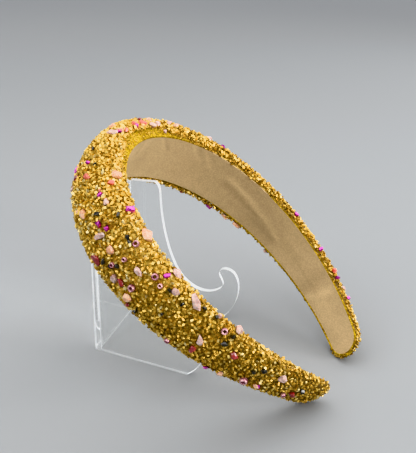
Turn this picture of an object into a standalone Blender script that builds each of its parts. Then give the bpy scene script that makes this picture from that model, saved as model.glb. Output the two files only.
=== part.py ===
"""Crystal headband hanging on a clear acrylic stand.

Units are metres and +Z is up. The side plates of the stand run towards +X and a little apart, its back
panel is at -X, and the near plate is at -Y. The band is worked out from its crown outwards: the lining's centre line
is marched along both legs, and every section of the band is drawn in the plane across that line.
"""
import math
import random

import bmesh
import bpy
from mathutils import Matrix, Vector
from mathutils.bvhtree import BVHTree

# Overall sizes
GAP = 0.0003
HALF_LENGTH = 0.190
CROWN = Vector((0.0, 0.0, 0.09614))
AXIS_TILT = math.radians(35.96)
AXIS_TURN = math.radians(-9.84)
AXIS_ROLL = math.radians(-4.25)

# How the lining's line bends on the way to a tip, in 1/m: bend in the band's plane, bow out of it
CROWN_BEND = 18.62
LEGS = {
    -1: {"lean": 2.03, "ease": -32.26, "curl": 18.36, "bow": -0.5, "sag": -1.71},
    +1: {"lean": -2.03, "ease": -27.38, "curl": 20.81, "bow": 0.5, "sag": -1.71},
}
MARCH_STEP = 0.001
MARCH_REACH = 0.200

# Sizes that run from the crown to a tip: value at the crown, value at the tip, power of the run
LINING_HALF_WIDTH = (0.01505, 0.00742, 1.686)
TOTAL_THICKNESS = (0.01885, 0.0045, 0.907)
OVERHANG = (0.00238, 0.0018, 1.0)
VELVET_BORDER = (0.0042, 0.0015, 0.7)
CRUST_THICKNESS = (0.0030, 0.0011, 1.0)
WIDEST_SHARE = 0.38
TIP_ROUNDING = 0.7
NEAR_LEG_FULLNESS = 0.0012

# Band build
LINING_THICKNESS = 0.0010
LINING_ROUND = 0.0003
PAD_FLOOR_WALL = 0.0003
LEG_STATIONS = 60
CRUST_CELLS = 10
# Stations round a tip, as shares of the body's half width: the lining has the first three
TIP_STATIONS = (0.36, 0.58, 0.70, 0.78)
LINING_TIP_STATIONS = 3
PAD_NOSE = 0.93
PAD_SHOULDER = 0.0008
VALLEY_SHARE = 0.60
BORDER_SINK_SHARE = 0.40

# Stand
SHEET = 0.003
STAND_HEIGHT = 0.080
STAND_REAR_X = -0.0093
STAND_NEAR_Y = -0.0298
STAND_FAR_Y = 0.0178
PLATE_REACH = 0.080
BEND_RADIUS = 0.001
# How far each side plate turns outwards from +X
FLARE = math.radians(6.5)
# Side outline of the plates from the top of the rear edge round to the foot: x from the rear, z, in mm
PLATE_TOP_FRONT = (16.5, 80.0)
PLATE_CURVES = (
    ("shoulder", ((16.5, 80.0), (18.6, 79.0), (19.3, 76.5), (19.4, 70.0))),
    ("neck", ((19.4, 70.0), (20.0, 57.0), (23.0, 42.0), (27.2, 32.5))),
    ("trough", ((27.2, 32.5), (32.0, 20.0), (43.5, 13.2), (52.4, 18.9))),
    ("lip", ((52.4, 18.9), (57.6, 22.4), (52.6, 26.3), (52.5, 29.0))),
    ("hook_crest", ((52.5, 29.0), (52.8, 33.0), (58.0, 33.0), (61.0, 29.6))),
    ("hook_back", ((61.0, 29.6), (66.0, 23.0), (64.0, 7.5), (53.5, 0.0))),
)
CURVE_STEPS = 7

# The main stones: kind, distance along the band from the crown (near leg negative), angle round it
# (0 at the lower edge, 180 at the upper edge), length and width in mm, and the angle from the band's own
# direction to the stone's length
STONES = (
    ("coral", -37.5, 110, 5.4, 2.9, 142),
    ("peach", -42.5, 176, 5.4, 4.6, 95),
    ("coral", -46.5, 156, 3.9, 3.5, 131),
    ("magenta", -49.5, 126, 3.7, 2.9, 62),
    ("peach", -50.5, 82, 5.2, 4.2, 23),
    ("pale", -54.0, 131, 4.3, 3.4, 1),
    ("black", -56.0, 111, 4.9, 2.0, 136),
    ("magenta", -59.0, 103, 3.9, 2.8, 176),
    ("magenta", -61.0, 178, 5.5, 3.7, 100),
    ("pale", -62.8, 94, 8.0, 3.5, 124),
    ("red", -68.0, 61, 6.0, 4.4, 26),
    ("peach", -70.0, 98, 5.2, 4.8, 10),
    ("black", -71.0, 136, 3.2, 2.2, 13),
    ("peach", -74.0, 182, 8.6, 5.4, 21),
    ("black", -74.0, 80, 3.0, 2.6, 53),
    ("bead", -75.0, 142, 3.0, 3.0, 0),
    ("pale", -78.0, 69, 4.8, 4.0, 36),
    ("pale", -83.0, 115, 6.0, 2.8, 175),
    ("bead", -85.5, 86, 3.3, 3.3, 0),
    ("peach", -86.5, 62, 4.8, 4.4, 154),
    ("bead", -88.8, 131, 3.1, 3.1, 0),
    ("magenta", -91.5, 152, 3.8, 2.4, 122),
    ("pale", -93.5, 183, 5.4, 4.4, 39),
    ("pale", -98.0, 141, 4.2, 3.4, 156),
    ("pale", -106.5, 157, 8.1, 4.3, 29),
    ("pale", -117.5, 99, 6.6, 3.5, 48),
    ("red", -118.5, 70, 5.0, 3.2, 88),
    ("bead", -122.5, 146, 3.0, 3.0, 0),
    ("black", -126.0, 121, 3.9, 3.0, 154),
    ("pale", -127.5, 183, 4.8, 4.2, 35),
    ("red", -132.5, 110, 4.2, 3.6, 9),
    ("peach", -136.0, 38, 5.4, 3.2, 83),
    ("bead", -145.5, 62, 3.8, 3.8, 0),
    ("black", -148.0, 113, 3.3, 3.0, 162),
    ("pale", -158.5, 116, 5.0, 4.2, 109),
    ("red", -171.0, 79, 4.6, 3.0, 20),
    ("pale", -12.5, 151, 4.6, 4.2, 90),
    ("coral", 6.0, 171, 5.0, 4.8, 98),
    ("pale", 17.0, 174, 5.4, 4.6, 175),
    ("peach", 44.0, 96, 6.2, 4.6, 30),
    ("magenta", 70.0, 120, 5.0, 3.4, 75),
    ("pale", 98.0, 80, 6.4, 4.2, 140),
    ("red", 127.0, 102, 4.6, 3.6, 50),
    ("black", 152.0, 84, 4.0, 3.0, 10),
)
STONE_HEIGHT_BASE = 0.0010
STONE_HEIGHT_SHARE = 0.30
STONE_SIDES = 8
BEAD_SIDES = 10
BEAD_HOLE_SHARE = 0.42
BEAD_HEIGHT_SHARE = 0.62
FOOTPRINT_DEPTH = 0.006

# Middle of the assembly's footprint in the frame above, which becomes the origin
FOOTPRINT_MIDDLE = Vector((0.05238, -0.00735, 0.0))

# Colour, roughness and metallic of each finish; alpha is left at 1 except for the acrylic
FINISHES = {
    "suede": ((0.50, 0.33, 0.17), 0.95, 0.0),
    "velvet": ((0.38, 0.26, 0.02), 0.90, 0.0),
    "crystal": ((0.72, 0.42, 0.06), 0.15, 0.2),
    "magenta": ((0.55, 0.03, 0.22), 0.20, 0.5),
    "coral": ((0.85, 0.18, 0.12), 0.30, 0.0),
    "red": ((0.70, 0.04, 0.05), 0.25, 0.0),
    "peach": ((0.90, 0.45, 0.26), 0.30, 0.0),
    "pale": ((0.90, 0.72, 0.66), 0.25, 0.0),
    "black": ((0.02, 0.02, 0.02), 0.12, 0.0),
    "bead": ((0.80, 0.25, 0.35), 0.25, 0.2),
    "acrylic": ((0.90, 0.92, 0.92), 0.05, 0.0),
}


def clear_scene():
    for old in list(bpy.data.objects):
        bpy.data.objects.remove(old)


def finish(name):
    colour, roughness, metallic = FINISHES[name]
    material = bpy.data.materials.get(name) or bpy.data.materials.new(name)
    material.use_nodes = True
    shader = material.node_tree.nodes["Principled BSDF"]
    shader.inputs["Base Color"].default_value = (*colour, 1.0)
    shader.inputs["Roughness"].default_value = roughness
    shader.inputs["Metallic"].default_value = metallic
    material.diffuse_color = (*colour, 1.0)
    return material


def add_object(name, bm, finish_name, sharp_angle=35.0):
    """Turn a bmesh into a named object with its finish."""
    mesh = bpy.data.meshes.new(name)
    bm.to_mesh(mesh)
    bm.free()
    mesh.materials.append(finish(finish_name))
    mesh.shade_smooth()
    mesh.set_sharp_from_angle(angle=math.radians(sharp_angle))
    obj = bpy.data.objects.new(name, mesh)
    bpy.context.scene.collection.objects.link(obj)
    return obj


# The band's line

def crown_axes():
    """Directions along the band's lean, across the head and up the band's width, at the crown."""
    lean = math.cos(AXIS_TILT)
    along = Vector((math.cos(AXIS_TURN) * lean, math.sin(AXIS_TURN) * lean, -math.sin(AXIS_TILT)))
    across = Vector((-math.sin(AXIS_TURN), math.cos(AXIS_TURN), 0.0))
    upper = along.cross(across)
    roll = Matrix.Rotation(AXIS_ROLL, 3, across.cross(upper))
    return along, roll @ across, roll @ upper


def march_leg(side):
    """Centre, upper and outward directions of the lining every MARCH_STEP along one leg."""
    along, tangent, upper = crown_axes()
    outward = -along
    centre = CROWN.copy()
    leg = LEGS[side]
    line = [(centre, upper, outward)]
    for i in range(round(MARCH_REACH / MARCH_STEP)):
        run = (i + 0.5) * MARCH_STEP / HALF_LENGTH
        bend = CROWN_BEND + leg["lean"] * run + leg["ease"] * run ** 2 + leg["curl"] * run ** 4
        bow = leg["bow"] * run + leg["sag"] * run ** 2
        turned = tangent + (upper * bow - outward * bend) * side * MARCH_STEP
        turned.normalize()
        upper = (upper - turned * upper.dot(turned)).normalized()
        outward = turned.cross(upper)
        if outward.dot(line[-1][2]) < 0.0:
            outward.negate()
        centre = centre + (tangent + turned) * 0.5 * side * MARCH_STEP
        tangent = turned
        line.append((centre, upper, outward))
    return line


LINES = {side: march_leg(side) for side in (-1, 1)}


def frame_at(s):
    """Centre, upper and outward directions at a signed distance from the crown."""
    line = LINES[1 if s >= 0.0 else -1]
    place = abs(s) / MARCH_STEP
    low = min(int(place), len(line) - 2)
    part = place - low
    return [a.lerp(b, part) for a, b in zip(line[low], line[low + 1])]


def taper(sizes, s):
    crown, tip, power = sizes
    run = min(abs(s) / HALF_LENGTH, 1.0)
    return crown + (tip - crown) * run ** power


# The band's section

class Section:
    """The outline of the band at one distance along it, in coordinates across and outward."""

    def __init__(self, s):
        lining = taper(LINING_HALF_WIDTH, s)
        body = lining + taper(OVERHANG, s)
        past = max(abs(s) - (HALF_LENGTH - lining), 0.0)
        roundness = math.sqrt(max(1.0 - (past / body) ** 2, 0.0))
        self.s = s
        self.lining = lining * math.sqrt(max(1.0 - (past / lining) ** 2, 0.0))
        self.body = body * roundness
        self.top = taper(TOTAL_THICKNESS, s) * roundness ** TIP_ROUNDING
        self.widest = WIDEST_SHARE * self.top
        self.crust = taper(CRUST_THICKNESS, s)
        self.border = taper(VELVET_BORDER, s)
        run = min(max((-s - 0.015) / 0.115, 0.0), 1.0)
        self.fullness = NEAR_LEG_FULLNESS * math.sin(math.pi * run) ** 2

    def skin(self, angle):
        """Point on the outline; -90 and 270 degrees are the lining's lower and upper edges."""
        turn = math.radians(angle)
        half = self.body + (self.fullness if angle > 90.0 else 0.0)
        if 0.0 <= angle <= 180.0:
            rise = (self.top - self.widest) * math.sin(turn)
            return Vector((-half * math.cos(turn), self.widest + rise))
        side = -1.0 if angle < 0.0 else 1.0
        reach = (half - self.lining) * abs(math.cos(turn))
        return Vector((side * (self.lining + reach), self.widest * (1.0 + math.sin(turn))))

    def sunk(self, angle, depth, floor=0.0):
        """The outline's point moved inwards by a depth, and kept above a floor."""
        ahead = self.skin(min(angle + 0.5, 270.0))
        behind = self.skin(max(angle - 0.5, -90.0))
        step = (ahead - behind).normalized()
        point = self.skin(angle) + Vector((step.y, -step.x)) * depth
        return Vector((point.x, max(point.y, floor)))

    def angle_past(self, distance):
        """Angle at a distance round the outline from the lining's lower edge."""
        angle = -90.0
        here = self.skin(angle)
        while distance > 0.0 and angle < 270.0:
            angle += 1.0
            ahead = self.skin(angle)
            distance -= (ahead - here).length
            here = ahead
        return angle

    def girth(self):
        points = [self.skin(angle) for angle in range(-90, 271, 2)]
        return sum((b - a).length for a, b in zip(points, points[1:]))

    def crust_angles(self):
        """Evenly spread angles across the crust, from its lower rim to its upper rim."""
        span = self.girth() - 2.0 * self.border
        return [self.angle_past(self.border + span * i / CRUST_CELLS) for i in range(CRUST_CELLS + 1)]

    def place(self, point):
        centre, upper, outward = frame_at(self.s)
        return centre + upper * point.x + outward * point.y


def tip_reach(share):
    """Distance along the band to a share of the round tip."""
    lining = taper(LINING_HALF_WIDTH, HALF_LENGTH)
    body = lining + taper(OVERHANG, HALF_LENGTH)
    return HALF_LENGTH - lining + body * share


def stations(tip_count=len(TIP_STATIONS)):
    """Distances along the band, evenly down the legs and closer together round the tips."""
    straight = tip_reach(0.0)
    middle = [straight * (2.0 * i / LEG_STATIONS - 1.0) for i in range(LEG_STATIONS + 1)]
    tip = [tip_reach(share) for share in TIP_STATIONS[:tip_count]]
    return [-s for s in reversed(tip)] + middle + tip


def loft(rings):
    """One closed body through rings of equal length, with flat ends."""
    bm = bmesh.new()
    loops = [[bm.verts.new(point) for point in ring] for ring in rings]
    sides = []
    for near, far in zip(loops, loops[1:]):
        count = len(near)
        for i in range(count):
            j = (i + 1) % count
            sides.append(bm.faces.new((near[i], near[j], far[j], far[i])))
    bm.faces.new(loops[0])
    bm.faces.new(list(reversed(loops[-1])))
    bmesh.ops.recalc_face_normals(bm, faces=bm.faces)
    return bm, sides


def build_lining():
    """The flat inner strip with rounded edges and round tips."""
    rings = []
    for s in stations(LINING_TIP_STATIONS):
        section = Section(s)
        edge = section.lining
        inner = edge - LINING_ROUND
        corners = (
            (-edge, LINING_THICKNESS / 2.0),
            (-inner, 0.0),
            (inner, 0.0),
            (edge, LINING_THICKNESS / 2.0),
            (inner, LINING_THICKNESS),
            (-inner, LINING_THICKNESS),
        )
        rings.append([section.place(Vector(corner)) for corner in corners])
    bm, _ = loft(rings)
    return add_object("lining", bm, "suede")


def pad_ring(section, bare):
    """Pad section: a recess for the lining, a velvet lobe at each edge and the face under the crust."""
    floor = LINING_THICKNESS + GAP
    wall = section.lining + GAP
    sink = BORDER_SINK_SHARE * section.crust
    step = section.crust + GAP
    least = floor + PAD_FLOOR_WALL
    angles = section.crust_angles()
    girth = section.girth()
    low_rim = section.angle_past(section.border - GAP)
    low_mid = section.angle_past(section.border * 0.5)
    high_rim = section.angle_past(girth - section.border + GAP)
    high_mid = section.angle_past(girth - section.border * 0.5)
    under = 0.0 if bare else step
    shallow = 0.0 if bare else sink
    ring = [Vector((-wall, floor)), Vector((-wall, GAP / 3.0))]
    ring.append(section.sunk(low_mid, 0.5 * shallow))
    ring.append(section.sunk(low_rim, shallow))
    ring.append(section.sunk(low_rim, under + GAP, least))
    ring += [section.sunk(angle, under, least) for angle in angles[2:-1:2]]
    ring.append(section.sunk(high_rim, under + GAP, least))
    ring.append(section.sunk(high_rim, shallow))
    ring.append(section.sunk(high_mid, 0.5 * shallow))
    ring += [Vector((wall, GAP / 3.0)), Vector((wall, floor))]
    return [section.place(point) for point in ring]


def build_pad():
    """The padded body under the crust, with a full round nose of velvet at each tip."""
    crust_end = tip_reach(TIP_STATIONS[-1])
    nose = tip_reach(PAD_NOSE)
    rings = [pad_ring(Section(s), bare=False) for s in stations()]
    rings.insert(0, pad_ring(Section(-crust_end - PAD_SHOULDER), bare=True))
    rings.append(pad_ring(Section(crust_end + PAD_SHOULDER), bare=True))
    rings.insert(0, pad_ring(Section(-nose), bare=True))
    rings.append(pad_ring(Section(nose), bare=True))
    bm, _ = loft(rings)
    return add_object("pad", bm, "velvet")


def stone_places():
    """Each stone's place on the band's outline, the outward direction there and the way towards the far tip."""
    places = []
    for _, along, angle, *_ in STONES:
        section = Section(along / 1000.0)
        point = section.place(section.skin(angle))
        inside = section.place(section.sunk(angle, 0.002))
        ahead = frame_at(along / 1000.0 + MARCH_STEP)[0] - frame_at(along / 1000.0 - MARCH_STEP)[0]
        places.append((point, (point - inside).normalized(), ahead))
    return places


def build_crystal_field(pockets):
    """The crust: a shell of rough cells that rise to points, with a flat pocket under each stone."""
    rng = random.Random(11)
    least = LINING_THICKNESS + PAD_FLOOR_WALL + 2.0 * GAP
    rings = []
    stops = stations()
    for s in stops:
        section = Section(s)
        angles = section.crust_angles()
        ring = []
        for i, angle in enumerate(angles):
            on_rim = i in (0, CRUST_CELLS)
            share = BORDER_SINK_SHARE if on_rim else VALLEY_SHARE * rng.uniform(0.75, 1.0)
            ring.append(section.place(section.sunk(angle, share * section.crust, least)))
        for angle in reversed(angles[::2]):
            ring.append(section.place(section.sunk(angle, section.crust, least)))
        rings.append(ring)
    bm, sides = loft(rings)
    smooth_ends = (0, 1, len(rings) - 3, len(rings) - 2)
    for i, face in enumerate(sides):
        ring_number, place = divmod(i, len(rings[0]))
        middle = face.calc_center_median()
        reach = math.sqrt(face.calc_area()) * 0.75
        covered = any((middle - point).length < reach + size for point, size in pockets)
        if covered or place >= CRUST_CELLS or ring_number in smooth_ends:
            continue
        face.normal_update()
        normal = face.normal.copy()
        relief = VALLEY_SHARE * taper(CRUST_THICKNESS, stops[ring_number])
        slide = Vector([rng.uniform(-0.18, 0.18) * reach for _ in range(3)])
        poked = bmesh.ops.poke(bm, faces=[face])
        apex = poked["verts"][0]
        apex.co += normal * relief * rng.uniform(0.55, 1.0) + slide - normal * slide.dot(normal)
    bmesh.ops.triangulate(bm, faces=[face for face in bm.faces if len(face.verts) > 3])
    return add_object("crystal_field", bm, "crystal", sharp_angle=5.0)


def surface_axes(outward, ahead, turn):
    """A frame on the band's surface: z outward, x along a stone that is turned from the band's own direction
    towards its upper edge."""
    side = (ahead - outward * ahead.dot(outward)).normalized()
    frame = Matrix((side, outward.cross(side), outward)).transposed()
    return frame @ Matrix.Rotation(math.radians(-turn), 3, "Z")


def cut_stone(length, width, seed):
    """A flat-backed chip with an eight-sided girdle, crown facets and a table."""
    rng = random.Random(seed)
    height = STONE_HEIGHT_BASE + STONE_HEIGHT_SHARE * width
    levels = ((0.72, 0.0), (1.0, 0.42), (0.52, 1.0))
    radii = [rng.uniform(0.84, 1.0) for _ in range(STONE_SIDES)]
    tilt = (rng.uniform(-0.16, 0.16), rng.uniform(-0.16, 0.16))
    bm = bmesh.new()
    for share, level in levels:
        for i, radius in enumerate(radii):
            angle = 2.0 * math.pi * (i + 0.5) / STONE_SIDES
            x = 0.5 * length * share * radius * math.cos(angle)
            y = 0.5 * width * share * radius * math.sin(angle)
            lean = (tilt[0] * x / length + tilt[1] * y / width) * 2.0 * height if level == 1.0 else 0.0
            bm.verts.new((x, y, level * height + lean))
    bmesh.ops.convex_hull(bm, input=bm.verts)
    bmesh.ops.recalc_face_normals(bm, faces=bm.faces)
    return bm


def tube_bead(diameter):
    """A short bead with a hole, standing on its end."""
    height = BEAD_HEIGHT_SHARE * diameter
    bm = bmesh.new()
    profile = ((BEAD_HOLE_SHARE, 0.0), (1.0, 0.0), (1.0, 1.0), (BEAD_HOLE_SHARE, 1.0))
    corners = [bm.verts.new((0.5 * diameter * r, 0.0, height * z)) for r, z in profile]
    edges = [bm.edges.new((corners[i], corners[(i + 1) % 4])) for i in range(4)]
    bmesh.ops.spin(
        bm, geom=corners + edges, cent=(0, 0, 0), axis=(0, 0, 1), dvec=(0, 0, 0),
        angle=2.0 * math.pi, steps=BEAD_SIDES, use_merge=True, use_duplicate=False,
    )
    bmesh.ops.remove_doubles(bm, verts=bm.verts, dist=1e-7)
    bmesh.ops.recalc_face_normals(bm, faces=bm.faces)
    return bm


def seat_height(tree, bm, frame, point, outward):
    """How far the highest part of the crust under a stone's footprint stands above the outline."""
    outline = [frame @ vert.co for vert in bm.verts]
    highest = -1.0
    for share in (0.0, 0.35, 0.7, 1.0):
        for offset in outline:
            flat = (offset - outward * offset.dot(outward)) * share
            start = point + flat + outward * 0.01
            hit = tree.ray_cast(start, -outward)[0]
            if hit is not None:
                highest = max(highest, (hit - point).dot(outward))
    return highest


def build_stones(places, field):
    """Each main stone seated on its pocket in the crust."""
    tree = BVHTree.FromObject(field, bpy.context.evaluated_depsgraph_get())
    crust = [vert.co for vert in field.data.vertices]
    stones = []
    for number, ((point, outward, ahead), row) in enumerate(zip(places, STONES), start=1):
        kind, _, _, length, width, turn = row
        frame = surface_axes(outward, ahead, turn)
        size = (length / 1000.0, width / 1000.0)
        bm = tube_bead(size[0]) if kind == "bead" else cut_stone(*size, number)
        lift = seat_height(tree, bm, frame, point, outward)
        for corner in crust:
            offset = corner - point
            rise = offset.dot(outward)
            if (offset - outward * rise).length < 0.5 * size[0] and rise > -FOOTPRINT_DEPTH:
                lift = max(lift, rise)
        base = point + outward * (lift + GAP)
        bmesh.ops.transform(bm, matrix=Matrix.Translation(base) @ frame.to_4x4(), verts=bm.verts)
        name = f"bead_{number:02d}" if kind == "bead" else f"stone_{number:02d}_{kind}"
        stones.append(add_object(name, bm, kind, sharp_angle=10.0))
    return stones


# The stand

def plate_outline():
    """Side outline of the stand in metres from its rear foot, its curved stretches as cubic curves."""
    points = [(0.0, 0.0), (0.0, STAND_HEIGHT)]
    points.append(tuple(value / 1000.0 for value in PLATE_TOP_FRONT))
    for _, (start, first, second, end) in PLATE_CURVES:
        for i in range(1, CURVE_STEPS + 1):
            t = i / CURVE_STEPS
            weights = ((1 - t) ** 3, 3 * t * (1 - t) ** 2, 3 * t * t * (1 - t), t ** 3)
            x = sum(w * p[0] for w, p in zip(weights, (start, first, second, end)))
            z = sum(w * p[1] for w, p in zip(weights, (start, first, second, end)))
            points.append((x / 1000.0, z / 1000.0))
    return points


def extruded(points, direction):
    """A closed prism from an outline and the way it is drawn out."""
    bm = bmesh.new()
    face = bm.faces.new([bm.verts.new(point) for point in points])
    drawn = bmesh.ops.extrude_face_region(bm, geom=[face])["geom"]
    bmesh.ops.translate(bm, vec=direction, verts=[v for v in drawn if isinstance(v, bmesh.types.BMVert)])
    bmesh.ops.recalc_face_normals(bm, faces=bm.faces)
    return bm


def near_half_plan():
    """The near half of the sheet seen from above: outside from the rear corner to the front, then back."""
    steps = 3
    rise = (1.0 - math.sin(FLARE)) / math.cos(FLARE)
    middle = Vector((STAND_REAR_X + BEND_RADIUS, STAND_NEAR_Y + BEND_RADIUS * rise, 0.0))
    points = []
    for i in range(steps + 1):
        angle = math.pi + (0.5 * math.pi - FLARE) * i / steps
        points.append(middle + BEND_RADIUS * Vector((math.cos(angle), math.sin(angle), 0.0)))
    corner = Vector((STAND_REAR_X, STAND_NEAR_Y, 0.0))
    along = Vector((math.cos(FLARE), -math.sin(FLARE), 0.0))
    inward = Vector((math.sin(FLARE), math.cos(FLARE), 0.0))
    points.append(corner + along * PLATE_REACH)
    points.append(corner + along * PLATE_REACH + inward * SHEET)
    points.append(corner + along * SHEET * rise + inward * SHEET)
    return points


def build_stand():
    """One bent sheet: a U in plan that opens towards the front, trimmed by the plates' side outline."""
    near_half = near_half_plan()
    across = STAND_NEAR_Y + STAND_FAR_Y
    far_half = [Vector((point.x, across - point.y, 0.0)) for point in reversed(near_half)]
    plan = near_half + far_half
    stand = add_object("stand", extruded(plan, Vector((0.0, 0.0, 0.1))), "acrylic")
    spare = 0.02
    side = [(STAND_REAR_X + x, STAND_NEAR_Y - spare, z) for x, z in plate_outline()]
    width = STAND_FAR_Y - STAND_NEAR_Y + 2.0 * spare
    trim = add_object("stand_trim", extruded(side, Vector((0.0, width, 0.0))), "acrylic")
    trim.hide_render = True
    trim.display_type = "WIRE"
    cut = stand.modifiers.new("trim", "BOOLEAN")
    cut.operation = "INTERSECT"
    cut.solver = "EXACT"
    cut.object = trim
    return stand


def set_on_origin():
    """Move everything so that the origin is in the middle of the assembly's footprint."""
    for obj in bpy.data.objects:
        obj.location -= FOOTPRINT_MIDDLE


def build_everything():
    clear_scene()
    build_lining()
    build_pad()
    seats = stone_places()
    radii = [0.0005 * row[3] for row in STONES]
    field = build_crystal_field([(seat[0], radius) for seat, radius in zip(seats, radii)])
    build_stones(seats, field)
    build_stand()
    set_on_origin()


build_everything()
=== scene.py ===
# %% [markdown]
# A crystal headband on its stand, step by step.
# The real thing is a padded headband. A springy core carries foam, mustard velvet is wrapped round the foam,
# tan microsuede is glued inside, and a crust of crushed gold glass is glued outside, with pink, coral and
# black chips scattered in it. It hangs crown up on a bent sheet of clear acrylic.
# The solid model already holds every piece at its real size. This script loads it as a fixed frame and
# gives each piece the surface that the real one shows.

# %% Load the fixed frame
import math
import random
from collections import namedtuple

import bmesh
import bpy
from mathutils import Euler, Matrix, Vector
from mathutils.kdtree import KDTree


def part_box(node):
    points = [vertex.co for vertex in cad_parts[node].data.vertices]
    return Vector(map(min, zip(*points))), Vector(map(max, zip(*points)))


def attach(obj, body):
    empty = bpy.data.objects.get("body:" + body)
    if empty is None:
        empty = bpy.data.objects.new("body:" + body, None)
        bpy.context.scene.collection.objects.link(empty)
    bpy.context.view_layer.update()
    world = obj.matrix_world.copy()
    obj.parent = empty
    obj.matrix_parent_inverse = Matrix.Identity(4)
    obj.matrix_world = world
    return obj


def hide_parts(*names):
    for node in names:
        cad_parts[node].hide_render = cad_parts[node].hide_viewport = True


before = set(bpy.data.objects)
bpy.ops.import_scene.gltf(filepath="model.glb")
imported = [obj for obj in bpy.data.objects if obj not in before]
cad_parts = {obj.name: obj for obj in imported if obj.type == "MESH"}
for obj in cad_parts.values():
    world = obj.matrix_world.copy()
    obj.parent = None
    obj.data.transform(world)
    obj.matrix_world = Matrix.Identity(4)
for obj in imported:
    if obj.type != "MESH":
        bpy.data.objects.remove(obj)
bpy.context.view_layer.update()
BODY = "root"
MM = 0.001
print("frame nodes:", len(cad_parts))

# %% [markdown]
# Every new piece goes through the same few steps: a bmesh becomes a mesh, the mesh gets its materials, and
# the object is told which body it rides on and which solid it stands for. A few short helpers keep those
# steps in one place.

# %% Helpers that turn a bmesh into a piece
SLANT = Vector((1.0, 0.37, 0.61))


def steady_order(bm):
    """Sort by place along a slanted line, because extruding leaves another order of faces each run."""
    bm.edges.sort(key=lambda edge: (edge.verts[0].co + edge.verts[1].co).dot(SLANT))
    bm.faces.sort(key=lambda face: face.calc_center_median().dot(SLANT))


def mesh_from(name, bm):
    mesh = bpy.data.meshes.new(name)
    bm.to_mesh(mesh)
    bm.free()
    return mesh


def put_in_scene(name, data):
    thing = bpy.data.objects.new(name, data)
    bpy.context.scene.collection.objects.link(thing)
    return thing


def finish_piece(name, bm, materials, sharp, replaces=()):
    """A smooth piece, on which edges sharper than so many degrees stay crisp."""
    mesh = mesh_from(name, bm)
    for material in materials:
        mesh.materials.append(material)
    mesh.shade_smooth()
    mesh.set_sharp_from_angle(angle=math.radians(sharp))
    piece = put_in_scene(name, mesh)
    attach(piece, BODY)
    if replaces:
        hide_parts(*replaces)
    print(name, len(mesh.polygons), "faces")
    return piece


def round_edges(piece, title, width, angle):
    """A bevel modifier for the edges sharper than so many degrees."""
    bevel = piece.modifiers.new(title, "BEVEL")
    bevel.width = width
    bevel.segments = 2
    bevel.limit_method = "ANGLE"
    bevel.angle_limit = math.radians(angle)


def mesh_with_modifiers(thing):
    """The mesh that a temporary object's modifiers make of it; the object itself goes."""
    graph = bpy.context.evaluated_depsgraph_get()
    mesh = bpy.data.meshes.new_from_object(thing.evaluated_get(graph))
    bpy.data.objects.remove(thing)
    return mesh


# %% [markdown]
# Places were first measured from the point on the floor straight below the crown: the stand's back is
# 9.3 mm behind it, and its two rear corners are 29.8 mm to the near side and 17.8 mm to the far side. The
# frame's origin is the middle of the footprint instead. The stand is known in both, so it gives the shift
# from one to the other.

# %% Where things are, measured from below the crown
STAND_REAR_X = -9.3 * MM
STAND_NEAR_Y = -29.8 * MM
STAND_FAR_Y = 17.8 * MM
stand_low, stand_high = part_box("stand")
middle_y = 0.5 * (stand_low.y + stand_high.y)
SHIFT = Vector((stand_low.x - STAND_REAR_X, middle_y - 0.5 * (STAND_NEAR_Y + STAND_FAR_Y), 0.0))
print("shift to the footprint's middle, mm:", [round(v / MM, 2) for v in SHIFT])

# %% [markdown]
# The camera stands where the photographer stood: in front of the near leg, above the band and looking down
# on it. Blender counts a lens in millimetres of a sensor 36 mm long, laid along the picture's longer side,
# so the focal length is turned from pixels into that.

# %% The camera
CAMERA_PLACE = Vector((0.14075, -0.32182, 0.21776)) + SHIFT
CAMERA_PITCH = math.radians(24.22)
CAMERA_ROLL = math.radians(1.166)
CAMERA_YAW = math.radians(16.94)
CLOSEST_SEEN = 0.01
FOCAL_PIXELS = 724.94
PHOTO_HEIGHT = 453
SENSOR = 36.0

camera_data = bpy.data.cameras.new("camera")
camera_data.sensor_width = SENSOR
camera_data.lens = FOCAL_PIXELS * SENSOR / PHOTO_HEIGHT
camera_data.clip_start = CLOSEST_SEEN
camera = put_in_scene("camera", camera_data)
camera.location = CAMERA_PLACE
look = Euler((math.pi / 2.0 - CAMERA_PITCH, 0.0, CAMERA_YAW), "XYZ").to_matrix()
camera.rotation_euler = (look @ Matrix.Rotation(CAMERA_ROLL, 3, "Z")).to_euler()
bpy.context.scene.camera = camera
print("lens, mm:", round(camera_data.lens, 2))

# %% [markdown]
# A finish starts from Blender's Principled shader. A number that holds all over a surface is set on the
# shader's own socket, and whatever changes over the surface comes in through nodes. These helpers add the
# nodes that nearly every finish needs, so that a finish can be read as a short recipe.

# %% Helpers for materials
def set_inputs(node, values):
    for title, value in values.items():
        node.inputs[title].default_value = value


def connect(tree, node, sources):
    for title, source in sources.items():
        tree.links.new(source, node.inputs[title])


def new_material(name, values):
    material = bpy.data.materials.new(name)
    material.use_nodes = True
    tree = material.node_tree
    shader = tree.nodes["Principled BSDF"]
    set_inputs(shader, values)
    print("finish:", name)
    return material, tree, shader


def object_coordinates(tree):
    return tree.nodes.new("ShaderNodeTexCoord").outputs["Object"]


def attribute(tree, name):
    node = tree.nodes.new("ShaderNodeAttribute")
    node.attribute_name = name
    return node.outputs["Fac"]


def math_node(tree, operation, first, second=None, third=None):
    node = tree.nodes.new("ShaderNodeMath")
    node.operation = operation
    for socket, value in zip(node.inputs, (first, second, third)):
        if isinstance(value, float):
            socket.default_value = value
        elif value is not None:
            tree.links.new(value, socket)
    return node.outputs[0]


def grey(level):
    return (level, level, level)


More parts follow.
